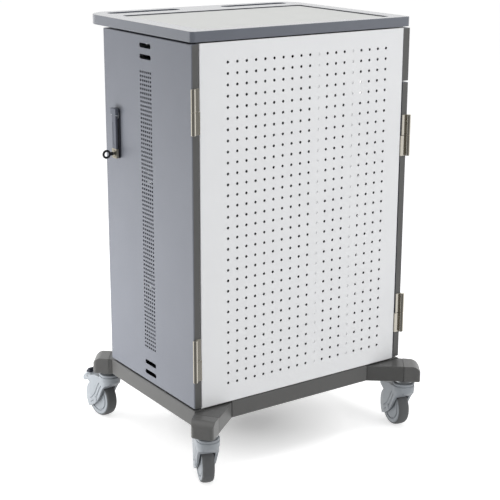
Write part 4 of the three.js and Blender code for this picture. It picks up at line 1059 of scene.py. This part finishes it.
# studio; each lamp is given by its place, target, size and power
studio = {"floorHalf": 20, "floorLevel": -0.0005, "floorColour": "#F2F2F2",
          "paintedShadowGlow": 0.17, "farGlow": 0.57, "paintedShadowFrom": 0.03, "paintedShadowTo": 0.24,
          "worldStrength": 0.5, "roomSide": (0.82, -0.57, 0), "roomFrom": 0.2, "roomTo": 0.4,
          "roomLevel": 0.17}
lamps = {"keyBox": ((-1.1, -1.15, 0.35), (-0.1, -0.3, 0.4), (1.0, 0.6), 11),
         "lowBox": ((-0.45, -1.2, 0.12), (-0.05, -0.3, 0.25), (1.2, 0.2), 8),
         "fillBox": ((3.4, 1.2, 1.6), (0, 0, 0.5), (2.0, 2.0), 43),
         "topBox": ((0, 0, 3.6), (0, 0, 0.5), (2.5, 2.5), 45)}
mesh = bpy.data.meshes.new("floor")
half, level = studio["floorHalf"], studio["floorLevel"]
mesh.from_pydata([(x, y, level) for x, y in rect(-half, half, -half, half)], [], [(0, 1, 2, 3)])
floor = addObject("floor", mesh)
paper = bpy.data.materials.new("studioPaper")
tree = emptyTree(paper)
matt = addNode(tree, "ShaderNodeBsdfDiffuse", {"Color": hexToLinear(studio["floorColour"])})
path = addNode(tree, "ShaderNodeLightPath")
seen = addNode(tree, "ShaderNodeMath", {"operation": "MAXIMUM"},
               {0: path.outputs["Is Camera Ray"], 1: path.outputs["Is Glossy Ray"]})
# the paper is lifted to white away from the cart and less near it: a painted shadow under the cart on top
# of its real one
away = addNode(tree, "ShaderNodeVectorMath", {"operation": "LENGTH"},
               {0: addNode(tree, "ShaderNodeTexCoord").outputs["Object"]})
liftWithPaintedShadow = addNode(tree, "ShaderNodeMapRange", {
    "From Min": studio["paintedShadowFrom"], "From Max": studio["paintedShadowTo"],
    "To Min": studio["paintedShadowGlow"], "To Max": studio["farGlow"],
}, {"Value": away.outputs["Value"]})
shown = addNode(tree, "ShaderNodeMath", {"operation": "MULTIPLY"},
                {0: seen.outputs[0], 1: liftWithPaintedShadow.outputs["Result"]})
lit = addNode(tree, "ShaderNodeEmission", {}, {"Strength": shown.outputs[0]})
both = addNode(tree, "ShaderNodeAddShader", {}, {0: matt.outputs[0], 1: lit.outputs[0]})
addNode(tree, "ShaderNodeOutputMaterial", {}, {"Surface": both.outputs[0]})
mesh.materials.append(paper)
floor.visible_glossy = False

world = bpy.data.worlds.new("studio")
bpy.context.scene.world = world
tree = emptyTree(world)
path = addNode(tree, "ShaderNodeLightPath")
sight = addNode(tree, "ShaderNodeMath", {"operation": "MAXIMUM"},
                {0: path.outputs["Is Camera Ray"], 1: path.outputs["Is Transmission Ray"]})
level = addNode(tree, "ShaderNodeMapRange", {"To Min": studio["worldStrength"], "To Max": 1.0},
                {"Value": sight.outputs[0]})
# bright work mirrors white paper all round but for the dark room on the front right
toward = addNode(tree, "ShaderNodeTexCoord").outputs["Generated"]
facing = addNode(tree, "ShaderNodeVectorMath", {"operation": "DOT_PRODUCT", 1: studio["roomSide"]},
                 {0: toward})
room = addNode(tree, "ShaderNodeMapRange", {
    "From Min": studio["roomFrom"], "From Max": studio["roomTo"],
    "To Min": 1.0, "To Max": studio["roomLevel"],
}, {"Value": facing.outputs["Value"]})
strength = addNode(tree, "ShaderNodeMix", {}, {
    0: path.outputs["Is Glossy Ray"], 2: level.outputs["Result"], 3: room.outputs["Result"],
})
sky = addNode(tree, "ShaderNodeBackground", {"Color": (1, 1, 1, 1)}, {"Strength": strength.outputs[0]})
addNode(tree, "ShaderNodeOutputWorld", {}, {"Surface": sky.outputs[0]})

for name, (place, target, size, power) in lamps.items():
    light = bpy.data.lights.new(name, "AREA")
    light.shape, light.size, light.size_y, light.energy = "RECTANGLE", size[0], size[1], power
    lamp = addObject(name, light)
    lamp.location = place
    lamp.visible_camera = lamp.visible_glossy = False
    lamp.rotation_euler = (Vector(target) - Vector(place)).to_track_quat("-Z", "Y").to_euler()

# camera at the photograph's viewpoint, for a square picture
view = {"place": (2.5015, -1.7358, 1.3693), "azimuth": 55.542, "elevation": 15.19, "roll": 0.196,
        "focalPixels": 1245.2, "pictureWidth": 500, "sensor": 36.0, "shift": 0.05}
camera = bpy.data.cameras.new("camera")
camera.sensor_width = view["sensor"]
camera.lens = view["sensor"] * view["focalPixels"] / view["pictureWidth"]
camera.shift_y = -view["shift"]
eye = addObject("camera", camera)
a, e = math.radians(view["azimuth"]), math.radians(view["elevation"])
forward = Vector((-math.sin(a) * math.cos(e), math.cos(a) * math.cos(e), -math.sin(e)))
aim = forward.to_track_quat("-Z", "Y").to_matrix().to_4x4()
eye.matrix_world = (Matrix.Translation(view["place"]) @ aim
                    @ Matrix.Rotation(math.radians(view["roll"]), 4, "Z"))
bpy.context.scene.camera = eye
bpy.context.scene.view_settings.view_transform = "Standard"
print("studio and camera")
